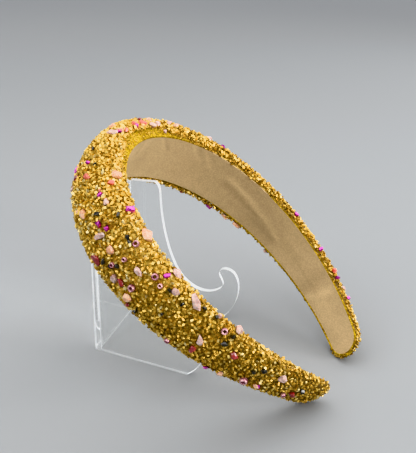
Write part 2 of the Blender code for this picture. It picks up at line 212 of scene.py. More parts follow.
def colour_ramp(tree, value, stops):
    ramp = tree.nodes.new("ShaderNodeValToRGB")
    elements = ramp.color_ramp.elements
    while len(elements) < len(stops):
        elements.new(0.5)
    for element, (position, colour) in zip(elements, stops):
        element.position = position
        element.color = (*colour, 1.0)
    tree.links.new(value, ramp.inputs["Fac"])
    return ramp.outputs["Color"]


def colour_mix(tree, blend):
    node = tree.nodes.new("ShaderNodeMix")
    node.data_type = "RGBA"
    node.blend_type = blend
    return node


def bump(tree, height, distance, strength=1.0, normal=None):
    """The normal that a height gives, laid over another bump's normal if there is one."""
    node = tree.nodes.new("ShaderNodeBump")
    set_inputs(node, {"Distance": distance, "Strength": strength})
    tree.links.new(height, node.inputs["Height"])
    if normal is not None:
        tree.links.new(normal, node.inputs["Normal"])
    return node.outputs["Normal"]


# %% [markdown]
# The floor is a plain pale sheet, so that nothing on it draws the eye. It is a calm grey round the stand and
# is painted paler further off, by the distance from the middle of the footprint: painted light that makes up
# for the light falling off with distance.

# %% The floor
FLOOR_REACH = 12.0
FLOOR_NEAR = (0.22, 0.228, 0.236, 1.0)
FLOOR_AWAY_PAINTED_LIGHT = (0.62, 0.63, 0.65, 1.0)
PALER_FROM = 0.45
PALER_TO = 2.6


def floor_material():
    material, tree, shader = new_material("floor_paper", {"Roughness": 0.75})
    distance = tree.nodes.new("ShaderNodeVectorMath")
    distance.operation = "LENGTH"
    tree.links.new(object_coordinates(tree), distance.inputs[0])
    spread = tree.nodes.new("ShaderNodeMapRange")
    spread.interpolation_type = "SMOOTHSTEP"
    set_inputs(spread, {"From Min": PALER_FROM, "From Max": PALER_TO})
    tree.links.new(distance.outputs["Value"], spread.inputs["Value"])
    # Painted light: paler further off, where the lamps' light has fallen off.
    paper = colour_mix(tree, "MIX")
    set_inputs(paper, {"A": FLOOR_NEAR, "B": FLOOR_AWAY_PAINTED_LIGHT})
    connect(tree, paper, {"Factor": spread.outputs["Result"]})
    connect(tree, shader, {"Base Color": paper.outputs["Result"]})
    return material


def stage_floor():
    bm = bmesh.new()
    bmesh.ops.create_grid(bm, x_segments=1, y_segments=1, size=FLOOR_REACH)
    mesh = mesh_from("floor", bm)
    mesh.materials.append(floor_material())
    floor = put_in_scene("floor", mesh)


stage_floor()

# %% [markdown]
# The light is soft. One large lamp hangs above the crown. A strong one stands well off on the open side of
# the band, where it reaches the lining too, and two weak ones fill from the left and from the back. Glass and
# gold need something to mirror, so the lamps are broad, and the world is brighter overhead than at the
# horizon: that difference is what makes facets stand out from each other.

# %% The light
# Each lamp's name, place and size in metres, power in watts and colour.
LAMPS = (
    ("overhead", (-0.06, 0.0, 0.85), 1.60, 21.0, (1.0, 0.99, 0.97)),
    ("front", (1.90, -0.24, 0.58), 1.00, 46.0, (1.0, 0.98, 0.95)),
    ("left", (-0.75, -0.45, 0.45), 0.60, 1.8, (0.97, 0.98, 1.0)),
    ("back", (0.35, 0.70, 0.60), 0.60, 2.6, (0.98, 0.99, 1.0)),
)
LAMP_TARGET = Vector((0.0, 0.0, 0.06))
SKY_STOPS = [(0.0, (0.50, 0.51, 0.53)), (0.75, (0.80, 0.82, 0.85))]
SKY_STRENGTH = 0.60


def hang_lamps():
    for name, place, size, power, colour in LAMPS:
        data = bpy.data.lights.new(name, "AREA")
        data.size = size
        data.energy = power
        data.color = colour
        lamp = put_in_scene(name, data)
        lamp.location = place
        lamp.rotation_euler = (LAMP_TARGET - lamp.location).to_track_quat("-Z", "Y").to_euler()


def hang_sky():
    world = bpy.data.worlds.new("studio")
    world.use_nodes = True
    tree = world.node_tree
    height = tree.nodes.new("ShaderNodeSeparateXYZ")
    tree.links.new(tree.nodes.new("ShaderNodeTexCoord").outputs["Generated"], height.inputs[0])
    background = tree.nodes["Background"]
    connect(tree, background, {"Color": colour_ramp(tree, height.outputs["Z"], SKY_STOPS)})
    set_inputs(background, {"Strength": SKY_STRENGTH})
    bpy.context.scene.world = world


hang_lamps()
hang_sky()
bpy.context.scene.view_settings.view_transform = "Khronos PBR Neutral"
print("lamps:", [lamp[0] for lamp in LAMPS])

# %% [markdown]
# The band is one long strip bent round the head. Its lining has a centre line that starts at the crown and
# bends on the way to each tip: fast at the crown, almost straight halfway down and a little more again at
# the ends. Marching along that line a millimetre at a time gives a frame at every point of it, with one
# direction up the band's width and one outward from the head. All pieces of the band are drawn in that
# moving frame, so they fit each other everywhere.

# %% The band's centre line
HALF_LENGTH = 190.0 * MM
CROWN = Vector((0.0, 0.0, 96.14 * MM)) + SHIFT
AXIS_TILT = math.radians(35.96)
AXIS_TURN = math.radians(-9.84)
AXIS_ROLL = math.radians(-4.25)
CROWN_BEND = 18.62
LEGS = {
    -1: {"lean": 2.03, "ease": -32.26, "curl": 18.36, "bow": -0.5, "sag": -1.71},
    +1: {"lean": -2.03, "ease": -27.38, "curl": 20.81, "bow": 0.5, "sag": -1.71},
}
MARCH_STEP = 1.0 * MM
MARCH_STEPS = 200


def crown_axes():
    lean = math.cos(AXIS_TILT)
    along = Vector((math.cos(AXIS_TURN) * lean, math.sin(AXIS_TURN) * lean, -math.sin(AXIS_TILT)))
    across = Vector((-math.sin(AXIS_TURN), math.cos(AXIS_TURN), 0.0))
    upper = along.cross(across)
    roll = Matrix.Rotation(AXIS_ROLL, 3, across.cross(upper))
    return along, roll @ across, roll @ upper


def march_leg(side):
    along, tangent, upper = crown_axes()
    outward = -along
    centre = CROWN.copy()
    leg = LEGS[side]
    line = [(centre, upper, outward)]
    for i in range(MARCH_STEPS):
        run = (i + 0.5) * MARCH_STEP / HALF_LENGTH
        bend = CROWN_BEND + leg["lean"] * run + leg["ease"] * run ** 2 + leg["curl"] * run ** 4
        bow = leg["bow"] * run + leg["sag"] * run ** 2
        turned = tangent + (upper * bow - outward * bend) * side * MARCH_STEP
        turned.normalize()
        upper = (upper - turned * upper.dot(turned)).normalized()
        outward = turned.cross(upper)
        if outward.dot(line[-1][2]) < 0.0:
            outward.negate()
        centre = centre + (tangent + turned) * 0.5 * side * MARCH_STEP
        tangent = turned
        line.append((centre, upper, outward))
    return line


LINES = {side: march_leg(side) for side in LEGS}


def frame_at(s):
    """The centre, the way up the width and the way out, s along the band from the crown."""
    line = LINES[1 if s >= 0.0 else -1]
    place = abs(s) / MARCH_STEP
    low = min(int(place), len(line) - 2)
    return [a.lerp(b, place - low) for a, b in zip(line[low], line[low + 1])]


print("tips at, mm:", [[round(v / MM, 1) for v in frame_at(s)[0]] for s in (-HALF_LENGTH, HALF_LENGTH)])

# %% [markdown]
# Across that line the band is a D: flat inside, rounded outside, widest about a third of the way up.
# Thickness and width both run down from the crown to the tips. An angle round the D names a point on it: 0
# is the lower edge, 90 the middle of the outside, 180 the upper edge, and -90 and 270 are the two edges of
# the lining. The near leg is a little fuller above, and the far leg below.

# %% The band's section
# Each size at the crown, the same at the tip, and the power of the run between them.
LINING_HALF_WIDTH = (15.05 * MM, 7.42 * MM, 1.686)
TOTAL_THICKNESS = (18.85 * MM, 4.5 * MM, 0.907)
OVERHANG = (2.38 * MM, 1.8 * MM, 1.0)
WIDEST_SHARE = 0.38
TIP_ROUNDING = 0.7
# Each swelling's height, start and length along its leg, and the power that shapes it.
NEAR_SWELLING = (1.2 * MM, 15.0 * MM, 115.0 * MM, 2.0)
FAR_SWELLING = (1.7 * MM, 0.0, 105.0 * MM, 1.5)
LOW_EDGE = -90.0
HIGH_EDGE = 270.0
SLOPE_STEP = 0.5


def clamped(value):
    return min(max(value, 0.0), 1.0)


def taper(sizes, s):
    crown, tip, power = sizes
    return crown + (tip - crown) * min(abs(s) / HALF_LENGTH, 1.0) ** power


def swelling(sizes, s):
    height, start, length, power = sizes
    return height * math.sin(math.pi * clamped((s - start) / length)) ** power


class Section:
    """The band's outline s along the band from the crown."""

    def __init__(self, s):
        lining = taper(LINING_HALF_WIDTH, s)
        body = lining + taper(OVERHANG, s)
        past = max(abs(s) - (HALF_LENGTH - lining), 0.0)
        roundness = math.sqrt(max(1.0 - (past / body) ** 2, 0.0))
        self.s = s
        self.frame = frame_at(s)
        self.lining = lining * math.sqrt(max(1.0 - (past / lining) ** 2, 0.0))
        self.body = body * roundness
        self.top = taper(TOTAL_THICKNESS, s) * roundness ** TIP_ROUNDING
        self.widest = WIDEST_SHARE * self.top
        self.fuller_above = swelling(NEAR_SWELLING, -s)
        self.fuller_below = swelling(FAR_SWELLING, s)

    def skin(self, angle):
        """The point at an angle: how far up the width, and how far out."""
        turn = math.radians(angle)
        half = self.body + (self.fuller_above if angle > 90.0 else self.fuller_below)
        if 0.0 <= angle <= 180.0:
            rise = (self.top - self.widest) * math.sin(turn)
            return Vector((-half * math.cos(turn), self.widest + rise))
        side = -1.0 if angle < 0.0 else 1.0
        reach = (half - self.lining) * abs(math.cos(turn))
        return Vector((side * (self.lining + reach), self.widest * (1.0 + math.sin(turn))))

    def outward(self, angle):
        ahead = self.skin(min(angle + SLOPE_STEP, HIGH_EDGE))
        behind = self.skin(max(angle - SLOPE_STEP, LOW_EDGE))
        step = (ahead - behind).normalized()
        return Vector((-step.y, step.x))

    def place(self, point):
        centre, upper, outward = self.frame
        return centre + upper * point.x + outward * point.y

    def sunk(self, angle, depth):
        return self.place(self.skin(angle) - self.outward(angle) * depth)

    def angles(self, step=3.0):
        """Angles round the outline with the distance round it at each."""
        table = [(LOW_EDGE, 0.0)]
        here = self.skin(LOW_EDGE)
        angle = LOW_EDGE
        while angle < HIGH_EDGE:
            angle += step
            ahead = self.skin(angle)
            table.append((angle, table[-1][1] + (ahead - here).length))
            here = ahead
        return table


def angle_at(table, distance):
    for (angle_a, at_a), (angle_b, at_b) in zip(table, table[1:]):
        if at_b >= distance:
            share = (distance - at_a) / max(at_b - at_a, 1e-9)
            return angle_a + (angle_b - angle_a) * share
    return table[-1][0]


TIP_REACH = HALF_LENGTH + taper(OVERHANG, HALF_LENGTH)
print("girth at the crown, mm:", round(Section(0.0).angles()[-1][1] / MM, 1))

# %% [markdown]
# Some effects are shared by more than one finish, so they are built once as node groups. The first is a
# soft cloud of light and dark that stands for brushing marks, handling and uneven dye. It is two noises of
# different size, blended, and it puts out one value.

# %% Node group: uneven tone
BROAD_SHARE = 0.65


def new_group(name, sizes, values):
    """A node group that reads a vector and some sizes and puts out some values."""
    group = bpy.data.node_groups.new(name, "ShaderNodeTree")
    group.interface.new_socket("Vector", in_out="INPUT", socket_type="NodeSocketVector")
    for title, size in sizes.items():
        socket = group.interface.new_socket(title, in_out="INPUT", socket_type="NodeSocketFloat")
        socket.default_value = size
    for title in values:
        group.interface.new_socket(title, in_out="OUTPUT", socket_type="NodeSocketFloat")
    print("node group:", name)
    return group, group.nodes.new("NodeGroupInput"), group.nodes.new("NodeGroupOutput")


def add_group(tree, group, vector, **values):
    node = tree.nodes.new("ShaderNodeGroup")
    node.node_tree = group
    tree.links.new(vector, node.inputs["Vector"])
    set_inputs(node, values)
    return node


def noise(group, entry, size, detail, roughness):
    node = group.nodes.new("ShaderNodeTexNoise")
    set_inputs(node, {"Detail": detail, "Roughness": roughness})
    connect(group, node, {"Vector": entry.outputs["Vector"], "Scale": entry.outputs[size]})
    return node.outputs[0]


def blend(tree, first, second, share):
    """The sum of a share of the first and what is left of the second."""
    return math_node(tree, "ADD", math_node(tree, "MULTIPLY", first, share),
                     math_node(tree, "MULTIPLY", second, 1.0 - share))


def uneven_tone_group():
    group, entry, leave = new_group("uneven_tone", {"Broad": 40.0, "Fine": 300.0}, ["Value"])
    broad = noise(group, entry, "Broad", 2.0, 0.5)
    fine = noise(group, entry, "Fine", 4.0, 0.6)
    connect(group, leave, {"Value": blend(group, broad, fine, BROAD_SHARE)})
    return group


UNEVEN_TONE = uneven_tone_group()


def uneven_tone(tree, where, broad, fine):
    return add_group(tree, UNEVEN_TONE, where, Broad=broad, Fine=fine).outputs["Value"]


# %% [markdown]
# Suede and velvet both have a nap: short fibres that stand up from the cloth. Seen close they are fine
# speckles, seen from afar they only soften the light. The second group gives the height of that nap, from a
# fine noise and a small cell pattern, and a speckle that darkens the colour between the tufts.

# %% Node group: nap
TUFT_SHARE = 0.5


def nap_group():
    group, entry, leave = new_group("nap", {"Tufts": 1500.0, "Fibre": 4000.0}, ["Height", "Speckle"])
    cells = group.nodes.new("ShaderNodeTexVoronoi")
    connect(group, cells, {"Vector": entry.outputs["Vector"], "Scale": entry.outputs["Tufts"]})
    fibre = noise(group, entry, "Fibre", 3.0, 0.6)
    tufts = math_node(group, "SUBTRACT", 1.0, cells.outputs["Distance"])
    connect(group, leave, {
        "Height": blend(group, tufts, fibre, TUFT_SHARE),
        "Speckle": math_node(group, "MULTIPLY", tufts, fibre),
    })
    return group


NAP = nap_group()


def speckled(tree, colour, nap, share, between, on):
    """The colour, multiplied by a tint between the tufts and another on them."""
    node = colour_mix(tree, "MULTIPLY")
    set_inputs(node, {"Factor": share})
    connect(tree, node, {"A": colour, "B": colour_ramp(tree, nap.outputs["Speckle"], [between, on])})
    return node.outputs["Result"]


# %% [markdown]
# The lining is microsuede: warm tan, quite matt, with a fine nap and soft patches of uneven tone. The colour
# comes from the uneven tone and from strokes of painted highlight and painted shade laid along the lining,
# and the nap gives speckle and bump.

# %% Finish: tan microsuede
TONE_SHARE = 0.45
PAINTED_LIGHT_SHADE_SHARE = 0.20


def suede_material():
    material, tree, shader = new_material("tan_suede", {
        "Roughness": 0.95,
        "Specular IOR Level": 0.15,
        "Sheen Weight": 0.15,
        "Sheen Roughness": 0.5,
        "Sheen Tint": (0.98, 0.80, 0.52, 1.0),
    })
    where = object_coordinates(tree)
    tone = uneven_tone(tree, where, 70.0, 420.0)
    nap = add_group(tree, NAP, where, Tufts=1200.0, Fibre=2800.0)
    calm = math_node(tree, "MULTIPLY_ADD", tone, TONE_SHARE, 0.5 * (1.0 - TONE_SHARE))
    # The strokes add painted highlight and painted shade to the tone.
    shade = math_node(tree, "MULTIPLY_ADD", attribute(tree, "brushed"), PAINTED_LIGHT_SHADE_SHARE, calm)
    tan = colour_ramp(tree, shade, [
        (0.10, (0.310, 0.222, 0.122)),
        (0.50, (0.505, 0.364, 0.198)),
        (0.90, (0.715, 0.520, 0.288)),
    ])
    soft = bump(tree, tone, 1.0 * MM, 0.3)
    connect(tree, shader, {
        "Base Color": speckled(tree, tan, nap, 0.34, (0.15, (0.45, 0.44, 0.42)), (0.45, grey(1.0))),
        "Normal": bump(tree, nap.outputs["Height"], 0.12 * MM, 0.6, soft),
    })
    return material


SUEDE = suede_material()

# %% [markdown]
# The lining itself is a grid of quads laid along the centre line, given its thickness with the solidify
# operator and a rolled edge. Its ends are half round. The creases are real geometry too, because the flat
# strip is glued into a curve: low waves that run with the strip, a few tenths of a millimetre high, and
# puckers where the cloth turns at the crown. Painted highlights and painted shade are laid on as strokes,
# written into an attribute that the finish reads.

# %% Creases and strokes of painted light and shade
# Each crease: the distance from the crown in mm, the place across from -1 to 1, its reach in mm, its width
# as a share of the half width, and its height in mm. The last three are the puckers.
CREASES = (
    (84.0, 0.20, 20.0, 0.10, 0.10), (100.0, -0.02, 16.0, 0.10, 0.10), (96.0, -0.35, 22.0, 0.16, 0.14),
    (118.0, 0.10, 30.0, 0.24, 0.22), (140.0, -0.15, 18.0, 0.12, 0.18), (-70.0, 0.15, 40.0, 0.12, 0.22),
    (-125.0, -0.10, 30.0, 0.12, 0.20), (4.0, 0.55, 0.9, 0.42, 0.40), (7.5, 0.62, 0.8, 0.30, 0.30),
    (-30.0, 0.70, 1.0, 0.30, 0.22),
)
# Each stroke of painted highlight or painted shade: where it starts and ends, as a distance in mm and a place
# across, its width in mm and its tone.
PAINTED_STREAKS = (
    ((70.0, 0.42), (112.0, -0.18), 1.8, 1.15), ((70.0, 0.16), (110.0, -0.42), 2.8, -0.80),
    ((64.0, 0.80), (112.0, 0.30), 3.6, -0.35), ((30.0, -0.75), (80.0, -0.80), 4.0, 0.30),
    ((118.0, -0.60), (140.0, -0.50), 6.0, 0.55), ((116.0, 0.50), (136.0, 0.50), 5.0, 0.35),
    ((143.0, -0.90), (146.0, 0.90), 4.0, -0.55), ((150.0, -0.80), (155.0, 0.55), 2.6, 1.00),
    ((158.0, -0.30), (184.0, 0.10), 6.0, 0.60), ((18.5, 1.00), (26.5, 0.45), 0.9, -1.10),
    ((16.5, 1.00), (24.0, 0.45), 1.2, 0.50), ((40.0, 0.95), (48.0, 0.40), 1.1, 0.60),
    ((44.0, 0.95), (52.0, 0.40), 1.1, -0.55), ((48.0, 0.90), (56.0, 0.40), 1.1, 0.50),
    ((53.0, 0.90), (60.0, 0.45), 1.2, -0.40), ((-14.0, -0.30), (12.0, -0.10), 3.0, -0.30),
    ((-20.0, 0.50), (6.0, 0.60), 2.4, 0.30), ((-60.0, 0.20), (-110.0, -0.20), 3.0, 0.50),
    ((-60.0, -0.30), (-118.0, -0.45), 3.6, -0.50), ((-140.0, -0.60), (-146.0, 0.60), 5.0, 0.40),
)


def painted_light_shade_at(s, share, half):
    """Sum of the painted light and shade strokes at a point: each fades with the distance from its line."""
    here = Vector((s, share * half)) / MM
    total = 0.0
    for *ends, width, tone in PAINTED_STREAKS:
        start, end = [Vector((at, across * half / MM)) for at, across in ends]
        run = clamped((here - start).dot(end - start) / (end - start).length_squared)
        away = (here - start.lerp(end, run)).length / width
        total += tone * math.exp(-away * away)
    return total


def crease_height(s, share):
    total = 0.0
    for at, middle, reach, width, height in CREASES:
        along = (s / MM - at) / reach
        across = (share - middle) / width
        total += height * MM * math.exp(-along * along - across * across)
    return total


print("creases:", len(CREASES), "strokes:", len(PAINTED_STREAKS))

# %% [markdown]
# The rows of the grid lie closer together towards the round tips, where the outline changes fast. The last
# row stops just short of the very tip, because the strip has no width there.

# %% Piece: the lining
LINING_THICKNESS = 1.0 * MM
LINING_ALONG = 380
LINING_ACROSS = 34
LINING_REACH = 0.9995
LINING_CLOSER = 0.35


def spaced(share, closer):
    """-1 to 1 along the band; the more closer there is, the closer together are the steps at the tips."""
    return (1.0 - closer) * share + closer * math.sin(share * math.pi / 2.0)


def build_lining():
    bm = bmesh.new()
    bmesh.ops.create_grid(bm, x_segments=LINING_ALONG, y_segments=LINING_ACROSS, size=1.0)
    brushed = bm.verts.layers.float.new("brushed")
    for vert in bm.verts:
        section = Section(HALF_LENGTH * LINING_REACH * spaced(vert.co.x, LINING_CLOSER))
        share = vert.co.y
        lift = LINING_THICKNESS - crease_height(section.s, share)
        vert.co = section.place(Vector((share * section.lining, lift)))
        # Each point keeps the painted light and shade of the strokes.
        vert[brushed] = painted_light_shade_at(section.s, share, section.lining)
    bmesh.ops.recalc_face_normals(bm, faces=bm.faces)
    middle = min(bm.faces, key=lambda face: (face.calc_center_median() - CROWN).length)
    if middle.normal.dot(frame_at(0.0)[2]) < 0.0:
        bmesh.ops.reverse_faces(bm, faces=bm.faces)
    bmesh.ops.solidify(bm, geom=bm.faces[:], thickness=LINING_THICKNESS)
    piece = finish_piece("lining_cloth", bm, [SUEDE], 60.0, ("lining",))
    round_edges(piece, "rolled_edge", 0.3 * MM, 50.0)
    return piece


lining_cloth = build_lining()

# %% [markdown]
# The size that the lining's strip was cut to: it isn't a rectangle, so its area is summed along the band
# from the width at each millimetre.

# %% The lining as a cut strip
HALF_STEPS = round(HALF_LENGTH / MARCH_STEP)
STRIP_STEPS = [MARCH_STEP * (i + 0.5) for i in range(-HALF_STEPS, HALF_STEPS)]
LINING_AREA = sum(2.0 * Section(s).lining * MARCH_STEP for s in STRIP_STEPS)

# %% [markdown]
# Mustard velvet covers the foam. It only shows as a border beside the lining, widest at the crown and a
# thin line down the legs. Velvet looks dark where the eye looks down into the pile and bright at grazing
# angles, which is what the sheen layer of the shader does.

# %% Finish: mustard velvet
def velvet_material():
    material, tree, shader = new_material("mustard_velvet", {
        "Roughness": 0.9,
        "Specular IOR Level": 0.2,
        "Sheen Weight": 0.2,
        "Sheen Roughness": 0.35,
        "Sheen Tint": (1.0, 0.72, 0.12, 1.0),
    })
    where = object_coordinates(tree)
    nap = add_group(tree, NAP, where, Tufts=950.0, Fibre=2200.0)
    mustard = colour_ramp(tree, uneven_tone(tree, where, 160.0, 1500.0), [
        (0.35, (0.440, 0.270, 0.010)),
        (0.50, (0.610, 0.400, 0.022)),
        (0.65, (0.780, 0.540, 0.050)),
    ])
    connect(tree, shader, {
        "Base Color": speckled(tree, mustard, nap, 1.0, (0.14, (0.30, 0.26, 0.18)), (0.46, grey(1.0))),
        "Normal": bump(tree, nap.outputs["Height"], 0.45 * MM, 0.9),
    })
    return material


VELVET = velvet_material()

# %% [markdown]
# The padded body is swept: a circle of vertices is drawn out ring by ring along the centre line, each ring
# is set on the outline of the band's section, and the two ends are filled.

# %% Sweep helper
STOPS_CLOSER = 0.4


def set_ring(ring, points):
    for vert, point in zip(ring, points):
        vert.co = point


def sweep(reach, steps, ring_of, count):
    """A closed skin from tip to tip, grown by extruding the last ring's edges to each next stop."""
    stops = [reach * spaced(2.0 * i / steps - 1.0, STOPS_CLOSER) for i in range(steps + 1)]
    bm = bmesh.new()
    ring = bmesh.ops.create_circle(bm, cap_ends=False, radius=1.0, segments=count)["verts"]
    edges = bm.edges[:]
    set_ring(ring, ring_of(stops[0]))
    for stop in stops[1:]:
        grown = bmesh.ops.extrude_edge_only(bm, edges=edges)["geom"]
        ring = [item for item in grown if isinstance(item, bmesh.types.BMVert)]
        edges = [item for item in grown if isinstance(item, bmesh.types.BMEdge)]
        set_ring(ring, ring_of(stop))
    bmesh.ops.holes_fill(bm, edges=[edge for edge in bm.edges if edge.is_boundary], sides=0)
    bmesh.ops.recalc_face_normals(bm, faces=bm.faces)
    steady_order(bm)
    return bm


# %% [markdown]
# How much velvet shows differs along the band, so the border is a short table of stops, read with a smooth
# step in between. Measured round the section, the glass leaves eight millimetres bare above the crown, and
# down the far leg it comes right up to the lining. A strip along the lower edge stays bare too.

# %% How wide the velvet border is
# Each stop: the distance from the crown in mm, near leg negative, and the width there in mm.
UPPER_BORDER = (
    (-190.0, 0.9), (-46.0, 1.2), (-24.0, 4.8), (-4.0, 8.0), (14.0, 7.4), (30.0, 3.0), (46.0, 0.7),
    (150.0, 0.5), (190.0, 1.4),
)
LOWER_BORDER = (
    (-190.0, 1.8), (-120.0, 2.2), (-10.0, 2.6), (16.0, 1.4), (70.0, 1.4), (108.0, 4.6), (176.0, 4.6),
    (190.0, 2.2),
)


def smooth_step(value):
    value = clamped(value)
    return value * value * (3.0 - 2.0 * value)


def read_stops(stops, s):
    place = s / MM
    for (start, at_start), (end, at_end) in zip(stops, stops[1:]):
        if place <= end:
            return MM * (at_start + (at_end - at_start) * smooth_step((place - start) / (end - start)))
    return MM * stops[-1][1]


def border_width(s, upper):
    return read_stops(UPPER_BORDER if upper else LOWER_BORDER, s)


print("velvet above the crown, mm:", round(border_width(0.0, True) / MM, 1))

# %% [markdown]
# Under the crust the velvet's skin is sunk, and at the border it comes up level with the lining's edge, with
# a slight puff beside it. Behind the lining the ring runs straight across the band.

# %% Piece: the velvet body
CRUST_DEPTH = (2.3 * MM, 1.1 * MM, 1.0)
SINKS_OVER = 1.3
RIM_WIDTH = 1.8 * MM
RIM_PUFF = 0.40 * MM
PAD_REACH = 0.9997
PAD_STOPS = 220
PAD_RING = 84
PAD_FLAT = 8
BACK_DEPTH = 1.0 * MM
BACK_SHARE = 0.6
BACK_INSET = 0.2 * MM


def tip_share(section):
    """1 along the band, falling to 0 where the tip rounds off."""
    return min(section.top / taper(TOTAL_THICKNESS, section.s), 1.0)


def pad_ring(s):
    section = Section(s)
    table = section.angles()
    girth = table[-1][1]
    depth = taper(CRUST_DEPTH, s) * tip_share(section)
    ring = []
    rounds = PAD_RING - PAD_FLAT
    for i in range(rounds):
        distance = girth * i / (rounds - 1)
        bare = min(distance / border_width(s, False), (girth - distance) / border_width(s, True))
        sink = smooth_step(bare / SINKS_OVER) * depth
        rim = min(min(distance, girth - distance) / RIM_WIDTH, 1.0)
        sink -= RIM_PUFF * math.sin(math.pi * rim)
        ring.append(section.sunk(angle_at(table, distance), sink))
    back = min(BACK_DEPTH, BACK_SHARE * section.top)
    for i in range(PAD_FLAT):
        share = 1.0 - 2.0 * (i + 0.5) / PAD_FLAT
        ring.append(section.place(Vector((share * (section.lining - BACK_INSET), back))))
    return ring


def build_velvet():
    bm = sweep(TIP_REACH * PAD_REACH, PAD_STOPS, pad_ring, PAD_RING)
    return finish_piece("velvet_body", bm, [VELVET], 50.0, ("pad",))


velvet_body = build_velvet()

# %% [markdown]
# The crust is the heart of the piece: thousands of chips of crushed, foil-backed glass in a bed of glue.
# Every chip is a small solid with a few flat faces. Foil is a metal to the eye, so the shader is mostly
# metallic, its colour carries the gold, and its plain gloss is tinted too. Each chip brings its own tint
# along as an attribute: a neighbour can be cream, gold, amber or brown, and the paler ones are smoother.

# %% Finish: crushed gold glass
def crystal_material():
    material, tree, shader = new_material("gold_glass", {
        "Metallic": 0.72,
        "Specular Tint": (1.0, 0.80, 0.45, 1.0),
    })
    tint = attribute(tree, "tint")
    gold = colour_ramp(tree, tint, [
        (0.00, (0.120, 0.060, 0.008)),
        (0.15, (0.330, 0.175, 0.028)),
        (0.40, (0.620, 0.385, 0.088)),
        (0.65, (0.775, 0.535, 0.138)),
        (0.85, (0.825, 0.625, 0.215)),
        (1.00, (0.860, 0.750, 0.410)),
    ])
    rough = colour_ramp(tree, tint, [(0.0, grey(0.42)), (1.0, grey(0.37))])
    connect(tree, shader, {"Base Color": gold, "Roughness": rough})
    return material


GOLD_GLASS = crystal_material()

# %% [markdown]
# Under the chips lies the glue, full of glass dust. It is amber, with painted light and shade by height:
# painted paler the higher it lies, towards the crown, and darker near the tips.

# %% Finish: glue bed
GLUE_PAINTED_LIGHT_BY_HEIGHT = 5.0
GLUE_MIDDLE = 0.052


def glue_material():
    material, tree, shader = new_material("amber_glue", {"Roughness": 0.40, "Metallic": 0.3})
    where = object_coordinates(tree)
    tone = uneven_tone(tree, where, 700.0, 1800.0)
    place = tree.nodes.new("ShaderNodeSeparateXYZ")
    tree.links.new(where, place.inputs[0])
    # Painted light by height: the glue is made paler above GLUE_MIDDLE and darker below it.
    painted_light_by_height = math_node(tree, "MULTIPLY_ADD", place.outputs["Z"], GLUE_PAINTED_LIGHT_BY_HEIGHT, -GLUE_PAINTED_LIGHT_BY_HEIGHT * GLUE_MIDDLE)
    amber = colour_ramp(tree, math_node(tree, "ADD", tone, painted_light_by_height), [
        (0.34, (0.122, 0.066, 0.008)),
        (0.50, (0.345, 0.205, 0.029)),
        (0.70, (0.700, 0.460, 0.090)),
    ])
    connect(tree, shader, {"Base Color": amber, "Normal": bump(tree, tone, 0.5 * MM)})
    return material


AMBER_GLUE = glue_material()

# %% [markdown]
# The bed is a skin of its own, a little below the tops of the chips. Its points are pushed in and out at
# random, which makes it rough, and it closes every gap between the chips.

# %% Piece: the glue bed
BED_STOPS = 300
BED_RING = 72
BED_OUTER = BED_RING // 2
BED_LIFT = 0.7 * MM
BED_ROUGHNESS = 0.30 * MM
BED_RIM_DROP = 0.3 * MM
BED_BACK_DROP = 0.3 * MM
BED_EASED_POINTS = 2.0
BED_SHORT = 1.0 * MM


def bed_ring(rng):
    def ring_of(s):
        section = Section(s)
        table = section.angles()
        low = border_width(s, False)
        high = table[-1][1] - border_width(s, True)
        share = tip_share(section)
        depth = (taper(CRUST_DEPTH, s) - BED_LIFT) * share
        ring = []
        for i in range(BED_OUTER):
            distance = low + (high - low) * i / (BED_OUTER - 1)
            edge = min(min(i, BED_OUTER - 1 - i) / BED_EASED_POINTS, 1.0)
            wobble = rng.uniform(-1.0, 1.0) * BED_ROUGHNESS * edge * share
            rim = (1.0 - edge) * BED_RIM_DROP
            ring.append(section.sunk(angle_at(table, distance), depth + wobble + rim))
        for i in range(BED_RING - BED_OUTER):
            distance = high + (low - high) * i / (BED_RING - BED_OUTER - 1)
            deeper = depth + (BED_LIFT * 2.0 + BED_BACK_DROP) * share
            ring.append(section.sunk(angle_at(table, distance), deeper))
        return ring
    return ring_of


def build_bed():
    bm = sweep(TIP_REACH - BED_SHORT, BED_STOPS, bed_ring(random.Random(5)), BED_RING)
    finish_piece("glue_bed", bm, [AMBER_GLUE], 30.0)


build_bed()

# %% [markdown]
# The chips come from a handful of patterns. Each pattern starts as a cone with its top cut off, its corners
# are pushed about, and the convex hull makes every face flat again: sixteen faces at most, and no two
# patterns alike. The seed of a chip later stretches or squeezes its pattern, so that some come out as flakes.

# %% The chip patterns
CHIP_PATTERNS = 16
CHIP_CORNERS = (4, 4, 5, 5)
CHIP_TOP = (0.24, 0.40)
CHIP_DEPTH = (0.7, 1.0)
CHIP_PUSH = 0.10


def chip_pattern(number):
    rng = random.Random(100 + number)
    bm = bmesh.new()
    bmesh.ops.create_cone(bm, cap_ends=True, segments=rng.choice(CHIP_CORNERS), radius1=0.5,
                          radius2=rng.uniform(*CHIP_TOP), depth=rng.uniform(*CHIP_DEPTH))
    for vert in bm.verts:
        vert.co += Vector([rng.uniform(-CHIP_PUSH, CHIP_PUSH) for _ in range(3)])
    hull = bmesh.ops.convex_hull(bm, input=bm.verts)
    inside = [item for item in hull["geom_interior"] if isinstance(item, bmesh.types.BMVert)]
    bmesh.ops.delete(bm, geom=inside, context="VERTS")
    bmesh.ops.dissolve_limit(bm, angle_limit=math.radians(5.0), verts=bm.verts, edges=bm.edges)
    bmesh.ops.recalc_face_normals(bm, faces=bm.faces)
    mesh = mesh_from(f"chip_{number:02d}", bm)
    mesh.materials.append(GOLD_GLASS)
    return bpy.data.objects.new(mesh.name, mesh)


def chip_collection():
    chips = bpy.data.collections.new("chip_patterns")
    for number in range(CHIP_PATTERNS):
        chips.objects.link(chip_pattern(number))
    return chips


CHIPS = chip_collection()

# %% [markdown]
# Where each chip lies is a seed: a single vertex that carries its turn, its size, the pattern to use and
# its tint. Geometry Nodes sets one chip on every seed, and the result is made one real mesh.

